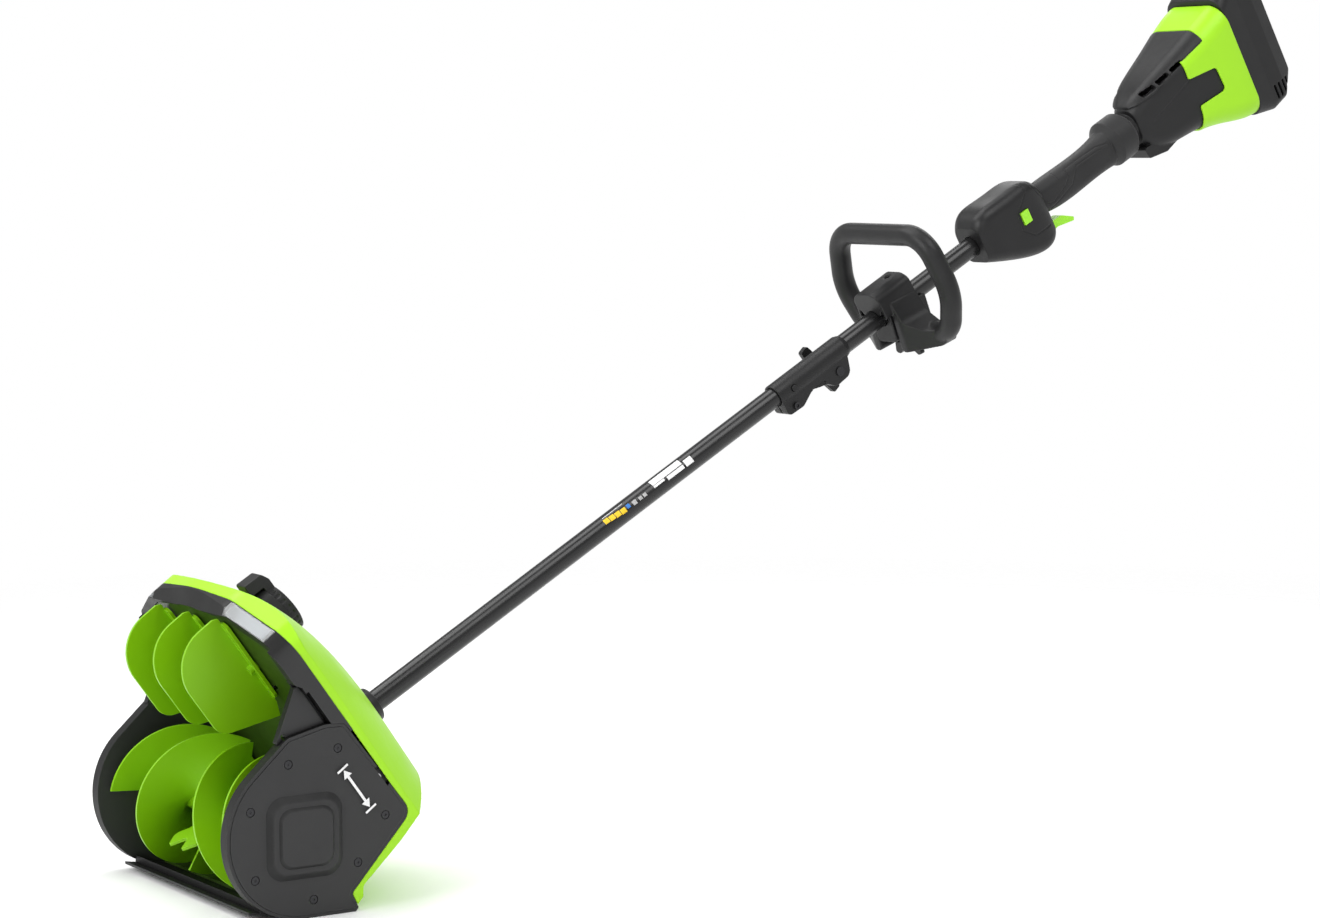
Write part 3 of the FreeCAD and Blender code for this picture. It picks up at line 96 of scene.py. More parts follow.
class Surface:
    """A Principled material whose nodes are added one call at a time."""

    WEAR_RADIUS = 0.0009            # metres; a corner sharper than this rubs
    WEAR_AMOUNT = 0.8
    WEAR_COSINES = (0.88, 0.985)    # of the lean of a fully rubbed edge, and of one not rubbed at all
    PAINTED_CREVICE_SHADE_RANGE = (0.45, 0.9)     # painted shade: light left in the darkest corner, and where the painted darkening starts
    SLOPE_COSINES = (0.75, 0.985)   # of a full slope with painted shade, and of a face that counts as flat

    def __init__(self, name, **constants):
        self.material = bpy.data.materials.new(name)
        self.material.use_nodes = True
        self.tree = self.material.node_tree
        self.shader = self.tree.nodes["Principled BSDF"]
        for socket, number in constants.items():
            self.shader.inputs[socket.replace("_", " ")].default_value = number
        self.place = self.add("ShaderNodeTexCoord").outputs["Object"]
        self.bumped = None

    def add(self, kind, **settings):
        node = self.tree.nodes.new(kind)
        for name, setting in settings.items():
            setattr(node, name, setting)
        return node

    def link(self, output, socket):
        self.tree.links.new(output, socket)

    def stretched(self, stretch):
        """Object coordinates scaled by axis."""
        mapping = self.add("ShaderNodeMapping")
        mapping.inputs["Scale"].default_value = stretch
        self.link(self.place, mapping.inputs["Vector"])
        return mapping.outputs["Vector"]

    def noise(self, scale, detail=2.0, roughness=0.5, stretch=(1, 1, 1)):
        node = self.add("ShaderNodeTexNoise")
        node.inputs["Scale"].default_value = scale
        node.inputs["Detail"].default_value = detail
        node.inputs["Roughness"].default_value = roughness
        self.link(self.stretched(stretch), node.inputs["Vector"])
        return node.outputs["Fac"]

    def cells(self, scale, feature="F1"):
        node = self.add("ShaderNodeTexVoronoi", feature=feature)
        node.inputs["Scale"].default_value = scale
        self.link(self.place, node.inputs["Vector"])
        return node.outputs["Distance"]

    def spread(self, factor, to, of=(0.0, 1.0)):
        """Maps the range of a factor to another range, and holds it there."""
        node = self.add("ShaderNodeMapRange")
        for socket, number in zip(node.inputs[1:5], (*of, *to)):
            socket.default_value = number
        self.link(factor, node.inputs["Value"])
        return node.outputs["Result"]

    def mixed(self, factor, first, second):
        node = self.add("ShaderNodeMix", data_type="RGBA")
        self.link(factor, node.inputs["Factor"])
        for socket, colour in ((node.inputs["A"], first), (node.inputs["B"], second)):
            if isinstance(colour, bpy.types.NodeSocket):
                self.link(colour, socket)
            else:
                socket.default_value = (*colour, 1)
        return node.outputs["Result"]

    def rounded_normal(self, radius, samples):
        """The surface's normal, as if its sharp corners were rounded by a radius in metres."""
        node = self.add("ShaderNodeBevel", samples=samples)
        node.inputs["Radius"].default_value = radius
        return node.outputs["Normal"]

    def edge_wear(self):
        """High along worn edges and nought on a face, from how far a rounded normal leans off the true one."""
        lean = self.add("ShaderNodeVectorMath", operation="DOT_PRODUCT")
        self.link(self.rounded_normal(self.WEAR_RADIUS, samples=4), lean.inputs[0])
        self.link(self.add("ShaderNodeNewGeometry").outputs["Normal"], lean.inputs[1])
        return self.spread(lean.outputs["Value"], to=(self.WEAR_AMOUNT, 0.0), of=self.WEAR_COSINES)

    def painted_crevice_shade(self, body, painted_shade_colour, distance):
        """Painted shade: the body colour, darkened in corners and grooves narrower than a distance in metres.
        """
        node = self.add("ShaderNodeAmbientOcclusion", samples=6, only_local=True)
        node.inputs["Distance"].default_value = distance
        return self.mixed(self.spread(node.outputs["AO"], to=(1.0, 0.0), of=self.PAINTED_CREVICE_SHADE_RANGE), body, painted_shade_colour)

    def painted_slope_shade(self, body, painted_shade_colour):
        """Painted shade: the body colour on faces square to the side, and a dark one painted where the surface
        slopes away.
        """
        parts = self.add("ShaderNodeSeparateXYZ")
        self.link(self.add("ShaderNodeTexCoord").outputs["Normal"], parts.inputs["Vector"])
        sideways = self.add("ShaderNodeMath", operation="ABSOLUTE")
        self.link(parts.outputs["X"], sideways.inputs[0])
        slope_shade_mask = self.spread(sideways.outputs["Value"], to=(1.0, 0.0), of=self.SLOPE_COSINES)
        return self.mixed(slope_shade_mask, body, painted_shade_colour)

    def colour(self, output):
        self.link(output, self.shader.inputs["Base Color"])

    def gloss(self, output):
        self.link(output, self.shader.inputs["Roughness"])

    def bump(self, height, distance, strength, edge=0.0):
        """Adds a layer of bump over the last; the first also rounds corners by its edge in metres."""
        node = self.add("ShaderNodeBump")
        node.inputs["Strength"].default_value = strength
        node.inputs["Distance"].default_value = distance
        self.link(height, node.inputs["Height"])
        if self.bumped is not None:
            self.link(self.bumped, node.inputs["Normal"])
        elif edge:
            self.link(self.rounded_normal(edge, samples=6), node.inputs["Normal"])
        self.bumped = node.outputs["Normal"]
        self.link(self.bumped, self.shader.inputs["Normal"])


def moulded(name, colours, roughness, grain, depth, edge=0.0006, grooves=0.0, **constants):
    """Injection-moulded plastic: fine grain, slow tint and gloss changes, rubbed edges.

    The grain is in cells to a metre and depth is in metres, as are the rounding of edges and the reach of
    the painted shade in corners and grooves, if any, which also brings painted shade on slopes.
    """
    colour, lighter = colours
    surface = Surface(name, **constants)
    tint = surface.spread(surface.noise(scale=9, detail=3), to=(0.0, 0.5), of=(0.35, 0.75))
    rubbed = [min(1.0, part * 1.7 + 0.02) for part in colour]
    finish = surface.mixed(surface.edge_wear(), surface.mixed(tint, colour, lighter), rubbed)
    if grooves:
        # Painted shade: a colour far darker than the body's, painted into corners, grooves and slopes.
        painted_shade_colour = [part * 0.15 for part in colour]
        finish = surface.painted_slope_shade(surface.painted_crevice_shade(finish, painted_shade_colour, grooves), painted_shade_colour)
    surface.colour(finish)
    surface.gloss(surface.spread(surface.noise(scale=28, detail=4),
                                 to=(roughness - 0.05, roughness + 0.07), of=(0.3, 0.7)))
    surface.bump(surface.noise(scale=70, detail=3), distance=0.0004, strength=0.25, edge=edge)
    surface.bump(surface.cells(grain), distance=depth, strength=0.5)
    return surface.material


def painted_tube():
    """Gloss black paint on steel tube, with a faint orange peel and slow changes of gloss."""
    surface = Surface("gloss_tube_paint", Specular_IOR_Level=0.5)
    tint = surface.spread(surface.noise(scale=14, detail=3), to=(0.0, 1.0), of=(0.3, 0.7))
    surface.colour(surface.mixed(tint, (0.006, 0.006, 0.0065), (0.009, 0.009, 0.0095)))
    surface.gloss(surface.spread(surface.noise(scale=22, detail=3), to=(0.24, 0.29), of=(0.3, 0.7)))
    surface.bump(surface.noise(scale=260), distance=0.00002, strength=0.25)
    return surface.material


def metal(name, colour, roughness, stretch):
    """Bare metal with fine tool marks, which are longest along the axes with the least stretch."""
    surface = Surface(name, Metallic=1.0)
    lines = surface.noise(scale=300, detail=4, roughness=0.6, stretch=stretch)
    surface.colour(surface.mixed(lines, colour, [part * 0.78 for part in colour]))
    surface.gloss(surface.spread(lines, to=(roughness - 0.06, roughness + 0.12)))
    surface.bump(lines, distance=0.00004, strength=0.4, edge=0.0003)
    return surface.material


def soft_grip():
    """Overmoulded rubber with a close stipple."""
    surface = Surface("grip_overmould", Specular_IOR_Level=0.3, Sheen_Weight=0.08, Sheen_Roughness=0.5)
    tint = surface.spread(surface.noise(scale=16, detail=4), to=(0.0, 1.0), of=(0.3, 0.7))
    surface.colour(surface.mixed(tint, (0.011, 0.011, 0.0115), (0.017, 0.017, 0.0175)))
    surface.gloss(surface.spread(surface.noise(scale=60, detail=3), to=(0.50, 0.62)))
    surface.bump(surface.cells(900), distance=0.00012, strength=0.45, edge=0.0006)
    return surface.material


def lens_plastic():
    """Clear polycarbonate, a little wavy."""
    surface = Surface("clear_lens", Transmission_Weight=0.92, IOR=1.58)
    tint = surface.spread(surface.noise(scale=40), to=(0.0, 1.0))
    surface.colour(surface.mixed(tint, (0.93, 0.95, 0.96), (0.99, 0.99, 0.99)))
    surface.gloss(surface.spread(surface.noise(scale=60, detail=3), to=(0.03, 0.12)))
    surface.bump(surface.noise(scale=30), distance=0.0004, strength=0.2, edge=0.0004)
    return surface.material


def plated_reflector():
    """A vacuum-plated reflector with slightly wavy faces."""
    surface = Surface("plated_reflector", Metallic=0.25, Specular_IOR_Level=0.3)
    tint = surface.spread(surface.noise(scale=32, detail=1), to=(0.0, 1.0), of=(0.40, 0.60))
    surface.colour(surface.mixed(tint, (0.06, 0.07, 0.075), (0.30, 0.34, 0.36)))
    surface.gloss(surface.spread(surface.noise(scale=90, detail=3), to=(0.38, 0.5)))
    surface.bump(surface.noise(scale=35), distance=0.0006, strength=0.25)
    return surface.material


def lacquered_board():
    """A green board whose tracks stand a little proud."""
    surface = Surface("circuit_board")
    track = surface.spread(surface.cells(160, "DISTANCE_TO_EDGE"), to=(1.0, 0.0), of=(0.02, 0.08))
    surface.colour(surface.mixed(track, (0.02, 0.16, 0.06), (0.08, 0.36, 0.14)))
    surface.gloss(surface.spread(surface.noise(scale=90), to=(0.25, 0.4)))
    surface.bump(track, distance=0.0001, strength=0.5)
    return surface.material


def ink(name, colour, lighter):
    """Screen print: an even ink film, a little worn."""
    surface = Surface(name, Specular_IOR_Level=0.35)
    worn = surface.spread(surface.noise(scale=260, detail=4), to=(0.0, 1.0), of=(0.45, 0.7))
    surface.colour(surface.mixed(worn, colour, lighter))
    surface.gloss(surface.spread(surface.noise(scale=120, detail=3), to=(0.4, 0.55)))
    surface.bump(surface.noise(scale=900), distance=0.00002, strength=0.4)
    return surface.material


# A moulding's colour and the lighter one that it drifts to.
LIME = (0.315, 0.66, 0.014), (0.340, 0.70, 0.018)
BUTTON_LIME = (0.30, 0.72, 0.02), (0.34, 0.78, 0.03)
DEEP_GREEN = (0.190, 0.45, 0.0025), (0.225, 0.51, 0.0035)
# Painted shade: a dark green standing in for the shadow deep in the hood.
PAINTED_SHADE_GREEN = (0.020, 0.046, 0.003), (0.028, 0.060, 0.004)
CHARCOAL = (0.026, 0.026, 0.0265), (0.031, 0.031, 0.0315)
BLACK = (0.009, 0.009, 0.0095), (0.013, 0.013, 0.0135)
BELT_BLACK = (0.02, 0.02, 0.02), (0.03, 0.03, 0.03)

DRAWN_LINES = (1, 8, 8)

materials = {
    "lime_plastic": moulded("lime_shell", LIME, roughness=0.36, grain=900, depth=0.00005, edge=0.0012,
                            Specular_IOR_Level=0.3),
    "green_plastic": moulded("deep_green", DEEP_GREEN, roughness=0.36, grain=700, depth=0.00004,
                             Specular_IOR_Level=0.3),
    # The cover carries painted shade in its corners and grooves and on the slopes of its bulge.
    "cover_plastic": moulded("cover_black", CHARCOAL, roughness=0.50, grain=1100, depth=0.00008,
                             grooves=0.008, Specular_IOR_Level=0.32),
    "black_plastic": moulded("body_black", BLACK, roughness=0.42, grain=1000, depth=0.00008,
                             Specular_IOR_Level=0.32),
    "green_button": moulded("button_lime", BUTTON_LIME, roughness=0.36, grain=900, depth=0.00004,
                            edge=0.0005),
    "grip_rubber": soft_grip(),
    "belt_rubber": moulded("belt_rubber", BELT_BLACK, roughness=0.7, grain=700, depth=0.0001, edge=0.0002),
    "black_tube": painted_tube(),
    "steel": metal("plain_steel", (0.58, 0.58, 0.60), 0.32, DRAWN_LINES),
    "cast_alloy": metal("cast_alloy", (0.62, 0.62, 0.63), 0.5, (1, 1, 1)),
    "contact_brass": metal("contact_brass", (0.78, 0.6, 0.3), 0.3, (6, 1, 1)),
    "circuit_board": lacquered_board(),
    "clear_lens": lens_plastic(),
}

# Nodes with a finish of their own: blackened screws; and painted shade, a dark green on the mouldings deep in
# the hood.
blackened_steel = metal("blackened_steel", (0.055, 0.055, 0.058), 0.38, DRAWN_LINES)
painted_shade_green = moulded("painted_shade_green", PAINTED_SHADE_GREEN, roughness=0.42, grain=800, depth=0.00005,
                       Specular_IOR_Level=0.3)
own_finishes_and_painted_shade = {
    "cover_screws": blackened_steel,
    "coupler_bolts": blackened_steel,
    "scraper_screws": blackened_steel,
    "hood_liner": painted_shade_green,
    "auger_housing": painted_shade_green,
}

inks = {
    "white": ink("white_ink", (0.80, 0.80, 0.80), (0.70, 0.70, 0.70)),
    "yellow": ink("yellow_ink", (0.83, 0.55, 0.02), (0.76, 0.49, 0.02)),
    "blue": ink("blue_ink", (0.03, 0.16, 0.52), (0.04, 0.20, 0.55)),
    "grey": ink("grey_ink", (0.42, 0.42, 0.42), (0.34, 0.34, 0.34)),
}


# ---------------------------------------------------------------- meshes and pieces

def mesh_from(name, build):
    mesh = bpy.data.meshes.new(name)
    build.to_mesh(mesh)
    build.free()
    return mesh


def node_copy(name, node_names):
    """One mesh with copies of some CAD nodes' surfaces."""
    build = bmesh.new()
    for node in node_names:
        build.from_mesh(nodes[node].data)
    bmesh.ops.remove_doubles(build, verts=build.verts, dist=SAME_PLACE)
    return mesh_from(name, build)


def linked(name, data):
    obj = bpy.data.objects.new(name, data)
    bpy.context.scene.collection.objects.link(obj)
    return obj


def paint(obj, material):
    obj.data.materials.clear()
    obj.data.materials.append(material)


def fitted(obj, body, slot, material=None):
    """Gives a piece its finish and lets it ride on its body."""
    paint(obj, material or materials[slot])
    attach(obj, body)


SHARP_ANGLE = math.radians(28)
FLAT_FACE_WEIGHT = 80


def paint_nodes():
    """Every CAD node takes the finish of its slot or one of its own, painted shade on some, and even shading on
    its flat faces.
    """
    for entry in frame["record"]["subparts"]:
        obj = nodes[entry["node"]]
        paint(obj, own_finishes_and_painted_shade.get(entry["node"], materials[entry["material_slot"]]))
        obj.modifiers.new("join", "WELD").merge_threshold = SAME_PLACE
        obj.modifiers.new("split", "EDGE_SPLIT").split_angle = SHARP_ANGLE
        obj.modifiers.new("flat", "WEIGHTED_NORMAL").weight = FLAT_FACE_WEIGHT


# ---------------------------------------------------------------- moulded pieces over the frame

def vertex_places(mesh):
    places = np.empty(len(mesh.vertices) * 3)
    mesh.vertices.foreach_get("co", places)
    return places.reshape(-1, 3)


def move_vertices(mesh, places):
    mesh.vertices.foreach_set("co", places.ravel())
    mesh.update()


def rounded_off(obj, voxel, passes):
    """Rebuilds an object's mesh from voxels, whose size is in millimetres, and smooths its edges."""
    remesh = obj.modifiers.new("even", "REMESH")
    remesh.mode = "VOXEL"
    remesh.voxel_size = voxel * MILLIMETRE
    smooth = obj.modifiers.new("round", "SMOOTH")
    smooth.factor = 0.5
    smooth.iterations = passes
    state = bpy.context.evaluated_depsgraph_get()
    mesh = bpy.data.meshes.new_from_object(obj.evaluated_get(state))
    obj.modifiers.clear()
    obj.data = mesh


SIDE_SHARPNESS = 3      # how soon a groove fades where a side turns away


def engrave(mesh, route, width, depth):
    """Sinks both sides of a moulding along a route of (station, height above the tube's axis).

    The route, the width from its middle to its edge and the depth are in millimetres.
    """
    places = vertex_places(mesh)
    normals = np.empty(places.size)
    mesh.vertex_normals.foreach_get("vector", normals)
    normals = normals.reshape(-1, 3)
    flat = np.column_stack((places @ np.array(along_tube) / MILLIMETRE + GRIP_STATION,
                            places @ np.array(above_tube) / MILLIMETRE))
    nearest = np.full(len(places), np.inf)
    for start, end in zip(route, route[1:]):
        start, end = np.array(start, float), np.array(end, float)
        run = end - start
        share = np.clip(((flat - start) @ run) / (run @ run), 0, 1)
        nearest = np.minimum(nearest, np.linalg.norm(flat - (start + share[:, None] * run), axis=1))
    outward = np.clip(normals[:, 0] * np.sign(places[:, 0]) * SIDE_SHARPNESS, 0, 1)
    profile = 0.5 + 0.5 * np.cos(np.pi * np.clip(nearest / width, 0, 1))
    places -= normals * (profile * outward * depth * MILLIMETRE)[:, None]
    move_vertices(mesh, places)


ON_AXIS = 0.0001        # metres; a vertex this near the axis has no way outwards


def clear_bore(mesh, radius):
    """Moves what a moulding has inside the tube out to a radius in millimetres round the tube's axis."""
    up = np.array(above_tube)
    places = vertex_places(mesh)
    side, high = places[:, 0], places @ up
    reach = np.hypot(side, high)
    short = (reach < radius * MILLIMETRE) & (reach > ON_AXIS)
    more = (radius * MILLIMETRE / reach[short] - 1)[:, None]
    places[short] += (side[short][:, None] * np.array([1, 0, 0]) + high[short][:, None] * up) * more
    move_vertices(mesh, places)


def softened(name, body, slot, node_names, voxel, passes, grooves=(), bore=0):
    """A moulding with rounded edges and cut-in grooves, in place of some CAD nodes."""
    obj = linked(name, node_copy(name, node_names))
    rounded_off(obj, voxel, passes)
    for groove in grooves:
        engrave(obj.data, *groove)
    if bore:
        clear_bore(obj.data, bore)
    for polygon in obj.data.polygons:
        polygon.use_smooth = True
    fitted(obj, body, slot)
    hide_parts(*node_names)


# Each groove has a route, a width from its middle to its edge, and a depth.
SWITCH_GROOVES = [
    ([(1098, 46), (1101, 28), (1076, 10), (1073, -13), (1089, -29), (1118, -31)], 1.5, 0.9),
    ([(1113, 42), (1114, 26), (1126, 4)], 1.5, 0.8),
]
GRIP_GROOVES = [
    ([(1131, -4), (1137, -12), (1144, -13), (1172, -4), (1180, 3), (1183, 13), (1240, 12), (1256, 8)],
     1.5, 0.9),
    ([(1138, -19), (1182, -9), (1193, 2), (1199, 8), (1240, 7), (1254, 3)], 1.5, 0.7),
    ([(1164, 7), (1164, 22)], 1.2, 0.6),
]
MOTOR_GROOVES = [([(1330, -2), (1400, 20)], 2.5, 0.8)]

# Radii in millimetres that keep the mouldings' inner faces clear of the tube.
HOUSING_BORE = 13.2
COLLAR_BORE = 13.1
COUPLER_BORE = 12.95


def add_mouldings():
    softened("switch_shell", "machine", "black_plastic", ["switch_housing_left", "switch_housing_right"],
             voxel=0.7, passes=5, grooves=SWITCH_GROOVES, bore=HOUSING_BORE)
    softened("grip_moulding", "machine", "grip_rubber", ["rear_grip"],
             voxel=0.7, passes=6, grooves=GRIP_GROOVES, bore=HOUSING_BORE)
    softened("motor_shell", "machine", "black_plastic", ["motor_housing_left", "motor_housing_right"],
             voxel=0.8, passes=4, grooves=MOTOR_GROOVES, bore=HOUSING_BORE)
    softened("saddle_moulding", "machine", "lime_plastic", ["rear_saddle_cover"], voxel=0.7, passes=3)
    softened("dock_moulding", "machine", "black_plastic", ["battery_dock"], voxel=0.9, passes=5)
    softened("battery_moulding", "battery", "black_plastic", ["battery_pack"], voxel=1.0, passes=5)
    softened("front_handle", "loop_handle", "black_plastic", ["handle_loop", "handle_cap"],
             voxel=0.9, passes=10, bore=HOUSING_BORE)
    softened("wing_knob", "handle_knob", "black_plastic", ["handle_wing_knob"], voxel=0.5, passes=5)
    softened("coupler_moulding", "machine", "black_plastic", ["coupler_sleeve"],
             voxel=0.6, passes=4, bore=COUPLER_BORE)
    softened("collar_moulding", "machine", "black_plastic", ["shaft_collar"],
             voxel=0.7, passes=5, bore=COLLAR_BORE)
    softened("vane_knob_moulding", "centre_vane", "black_plastic", ["vane_knob"], voxel=0.6, passes=4)
    softened("shell_moulding", "machine", "lime_plastic", ["outer_shell"], voxel=1.1, passes=3)


# ---------------------------------------------------------------- lamps

REFLECTOR_SHARE = 0.86      # the size of a reflector, as a share of its lens


def add_reflectors():
    """A plated reflector just inside each lamp lens, hiding its board."""
    lens = node_copy("lamp_reflectors", ["lamp_lenses"])
    for side in (1, -1):
        ring = [vertex for vertex in lens.vertices if vertex.co.x * side > 0]
        middle = sum((vertex.co for vertex in ring), Vector()) / len(ring)
        for vertex in ring:
            vertex.co = middle + (vertex.co - middle) * REFLECTOR_SHARE
    fitted(linked("lamp_reflectors", lens), "machine", "clear_lens", plated_reflector())


# ---------------------------------------------------------------- printed marks

def printed(name, build, slot, material):
    """A thin film of ink on the machine."""
    bmesh.ops.recalc_face_normals(build, faces=build.faces)
    fitted(linked(name, mesh_from(name, build)), "machine", slot, material)


# The mark's sizes are in millimetres; its length runs down the slant and its height across it.
COVER_BULGE = 5.5                   # how far the cover's bulge stands out over the face with the mark
INK_THICKNESS = 0.12
MARK_BACK, MARK_HIGH = 63, 44       # from the auger's centre to the mark's middle
MARK_HALF_LENGTH = 30
BAR_HALF_HEIGHT, BAR_WIDTH = 7.5, 2.4
LINE_HALF_WIDTH = 1.5
HEAD_LENGTH, HEAD_HALF_HEIGHT, HEAD_GAP = 10, 5.5, 1


def add_width_mark():
    """A double-ended arrow between two bars, printed on the belt cover beside its slanted edge."""
    middle = centre_of("auger_shaft") + Vector((0, MARK_BACK, MARK_HIGH)) * MILLIMETRE
    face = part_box("side_cover_left")[1].x - COVER_BULGE * MILLIMETRE

    def place(x, y, height):
        spot = middle + (down_plate * x + behind_plate * y) * MILLIMETRE
        return Vector((face + height * MILLIMETRE, spot.y, spot.z))

    bar = MARK_HALF_LENGTH - BAR_WIDTH
    head = bar - HEAD_LENGTH
    outlines = [[(-head, -LINE_HALF_WIDTH), (head, -LINE_HALF_WIDTH), (head, LINE_HALF_WIDTH),
                 (-head, LINE_HALF_WIDTH)]]
    for end in (-1, 1):
        outlines.append([(end * bar, -BAR_HALF_HEIGHT), (end * MARK_HALF_LENGTH, -BAR_HALF_HEIGHT),
                         (end * MARK_HALF_LENGTH, BAR_HALF_HEIGHT), (end * bar, BAR_HALF_HEIGHT)])
        outlines.append([(end * (bar - HEAD_GAP), 0), (end * head, HEAD_HALF_HEIGHT),
                         (end * head, -HEAD_HALF_HEIGHT)])

    build = bmesh.new()
    for outline in outlines:
        low = [build.verts.new(place(x, y, 0)) for x, y in outline]
        high = [build.verts.new(place(x, y, INK_THICKNESS)) for x, y in outline]
        build.faces.new(high)
        build.faces.new(list(reversed(low)))
        for index in range(len(outline)):
            after = (index + 1) % len(outline)
            build.faces.new((low[index], low[after], high[after], high[index]))
    printed("width_mark", build, "cover_plastic", inks["white"])


PATCH_STEPS = 8
PATCH_HEIGHTS = (-0.05, 0.07)       # of a patch's inner and outer faces over the paint

# Blank areas in place of the tube's labels: an ink, two stations, and two angles from the left towards the top.
TUBE_LABELS = {
    "label_rule": ("white", (372, 404), (66, 69)),
    "blue_patch": ("blue", (405, 410), (22, 46)),
    "grey_patch_0": ("grey", (414, 420), (16, 42)),
    "grey_patch_1": ("grey", (424, 429), (18, 38)),
    "grey_patch_2": ("grey", (431, 436), (18, 38)),
    "white_patch_0": ("white", (449, 497), (40, 78)),
    "white_patch_1": ("white", (449, 466), (24, 37)),
    "white_patch_2": ("white", (470, 497), (12, 34)),
    "white_patch_3": ("white", (500, 512), (10, 50)),
}
YELLOW_COUNT = 4
YELLOW_START, YELLOW_STEP, YELLOW_LENGTH = 370, 8.4, 7.4
YELLOW_ANGLES, YELLOW_TURN = (26, 56), -4


def tube_patch(name, colour, stations, degrees):
    """A thin printed patch, bent round the tube."""
    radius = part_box("lower_tube")[1].x / MILLIMETRE
    build = bmesh.new()
    rows = []
    for index in range(PATCH_STEPS + 1):
        angle = math.radians(degrees[0] + (degrees[1] - degrees[0]) * index / PATCH_STEPS)
        row = []
        for height in PATCH_HEIGHTS:
            side, up = (radius + height) * math.cos(angle), (radius + height) * math.sin(angle)
            row += [build.verts.new(shaft_point(side, up, station)) for station in stations]
        rows.append(row)
    for first, second in zip(rows, rows[1:]):
        for a, b in ((0, 1), (1, 3), (3, 2), (2, 0)):
            build.faces.new((first[a], first[b], second[b], second[a]))
    build.faces.new([rows[0][index] for index in (0, 2, 3, 1)])
    build.faces.new([rows[-1][index] for index in (0, 1, 3, 2)])
    printed(name, build, "black_tube", inks[colour])


def add_tube_labels():
    """No lettering, only plain areas; the four yellow ones step round the tube as they climb it."""
    for index in range(YELLOW_COUNT):
        start = YELLOW_START + index * YELLOW_STEP
        tube_patch(f"yellow_patch_{index}", "yellow", (start, start + YELLOW_LENGTH),
                   [angle + index * YELLOW_TURN for angle in YELLOW_ANGLES])
    for name, label in TUBE_LABELS.items():
        tube_patch(name, *label)


# ---------------------------------------------------------------- light, floor and camera

# Azimuths and elevations are in degrees, and the rest is in metres.
CAMERA_AZIMUTH = 56.109
CAMERA_ELEVATION = 5.342
CAMERA_DISTANCE = 3.8666
CAMERA_AIM_RIGHT = 0.0996   # from the lower tube's centre
CAMERA_AIM_UP = 0.1054
FARTHEST_SEEN = 50
CAMERA_LENS = 90            # millimetres, as the sensor's width
SENSOR_WIDTH = 36

# Azimuth, elevation, distance, size across and up, and power in watts.
SOFTBOXES = {
    "key_softbox": (100, 55, 3.2, (2.4, 1.6), 42),
    "front_softbox": (8, 20, 3.4, (1.8, 1.4), 52),
    "front_high_softbox": (-42, 48, 3.2, (2.0, 1.4), 40),
    "side_fill": (62, 18, 4.6, (2.4, 1.2), 16),
    "top_softbox": (-60, 75, 3.0, (2.6, 1.2), 34),
    "rear_strip": (215, 35, 3.2, (2.6, 0.8), 22),
}

STUDIO_HEIGHTS = (0.07, 0.5)        # sines of the elevations between which the studio's walls dim
STUDIO_STRENGTHS = (1.0, 0.34)
FLOOR_RADIUS = 2.6
FLOOR_FADE = (0.0, 0.6)             # shares of the radius, in from the rim, over which the floor appears


def view_axes(azimuth, elevation):
    """Right, up and back of a camera that looks along +Y at azimuth 0."""
    azimuth, elevation = math.radians(azimuth), math.radians(elevation)
    back = Vector((math.sin(azimuth) * math.cos(elevation), -math.cos(azimuth) * math.cos(elevation),
                   math.sin(elevation)))
    right = Vector((math.cos(azimuth), math.sin(azimuth), 0))
    return right, back.cross(right), back


def aimed(obj, axes, distance, aim):
    """Turns a camera or a light along its axes and backs it off from what it is aimed at."""
    turn = Matrix(axes).transposed().to_4x4()
    obj.matrix_world = Matrix.Translation(aim + axes[2] * distance) @ turn


def add_camera():
    axes = view_axes(CAMERA_AZIMUTH, CAMERA_ELEVATION)
    aim = centre_of("lower_tube") + axes[0] * CAMERA_AIM_RIGHT + axes[1] * CAMERA_AIM_UP
    camera = linked("camera", bpy.data.cameras.new("camera"))
    camera.data.lens = CAMERA_LENS
    camera.data.sensor_width = SENSOR_WIDTH
    camera.data.clip_end = FARTHEST_SEEN
    aimed(camera, axes, CAMERA_DISTANCE, aim)
    bpy.context.scene.camera = camera


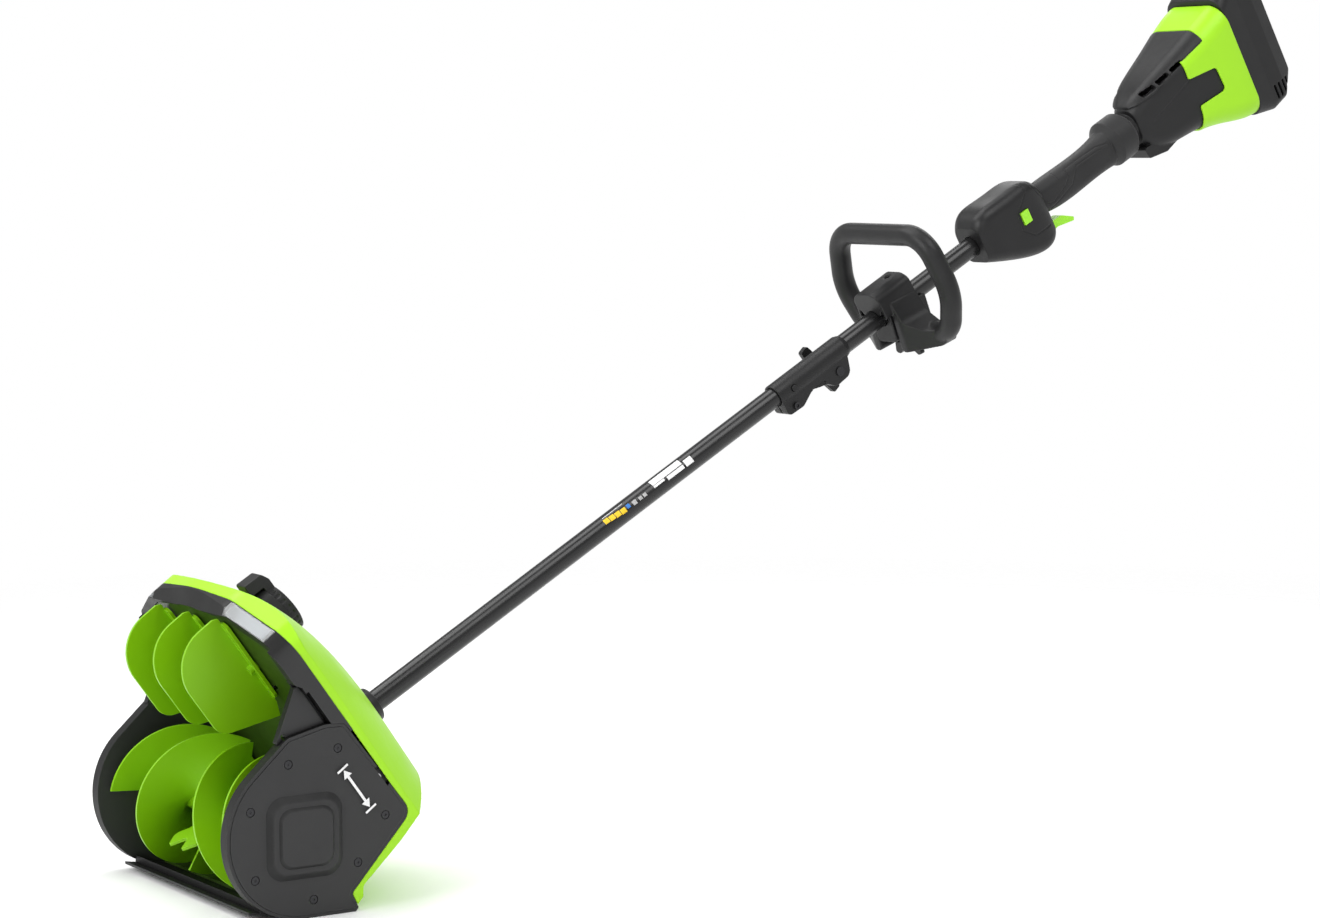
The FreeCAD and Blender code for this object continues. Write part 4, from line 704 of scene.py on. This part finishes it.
def add_lights():
    for name, (azimuth, elevation, distance, size, power) in SOFTBOXES.items():
        lamp = bpy.data.lights.new(name, "AREA")
        lamp.shape = "RECTANGLE"
        lamp.size, lamp.size_y = size
        lamp.energy = power
        aimed(linked(name, lamp), view_axes(azimuth, elevation), distance, (cad_low + cad_high) / 2)


def add_studio():
    """A white surround, dimmer overhead than at the horizon."""
    world = bpy.data.worlds.new("studio")
    world.use_nodes = True
    tree = world.node_tree
    background = tree.nodes["Background"]
    background.inputs["Color"].default_value = (1, 1, 1, 1)
    towards = tree.nodes.new("ShaderNodeTexCoord")
    parts = tree.nodes.new("ShaderNodeSeparateXYZ")
    tree.links.new(towards.outputs["Generated"], parts.inputs["Vector"])
    dimmed = tree.nodes.new("ShaderNodeMapRange")
    dimmed.interpolation_type = "SMOOTHSTEP"
    for socket, number in zip(dimmed.inputs[1:5], (*STUDIO_HEIGHTS, *STUDIO_STRENGTHS)):
        socket.default_value = number
    tree.links.new(parts.outputs["Z"], dimmed.inputs["Value"])
    tree.links.new(dimmed.outputs["Result"], background.inputs["Strength"])
    bpy.context.scene.world = world
    bpy.context.scene.view_settings.view_transform = "Standard"


def add_floor():
    """A round pale sheet under the object, which fades out into the white studio."""
    surface = Surface("pale_floor", Specular_IOR_Level=0.1)
    surface.colour(surface.mixed(surface.noise(scale=3, detail=3), (0.95, 0.95, 0.95), (0.98, 0.98, 0.98)))
    surface.gloss(surface.spread(surface.noise(scale=12), to=(0.7, 0.85)))
    inwards = surface.add("ShaderNodeTexGradient", gradient_type="SPHERICAL")
    surface.link(surface.stretched((1 / FLOOR_RADIUS,) * 3), inwards.inputs["Vector"])
    surface.link(surface.spread(inwards.outputs["Fac"], to=(0.0, 1.0), of=FLOOR_FADE),
                 surface.shader.inputs["Alpha"])
    build = bmesh.new()
    bmesh.ops.create_circle(build, cap_ends=True, radius=FLOOR_RADIUS, segments=96)
    floor = linked("floor", mesh_from("floor", build))
    paint(floor, surface.material)
    floor.location = ((cad_low.x + cad_high.x) / 2, (cad_low.y + cad_high.y) / 2, cad_low.z)


paint_nodes()
add_mouldings()
add_width_mark()
add_reflectors()
add_tube_labels()
add_camera()
add_lights()
add_studio()
add_floor()

bpy.context.view_layer.update()
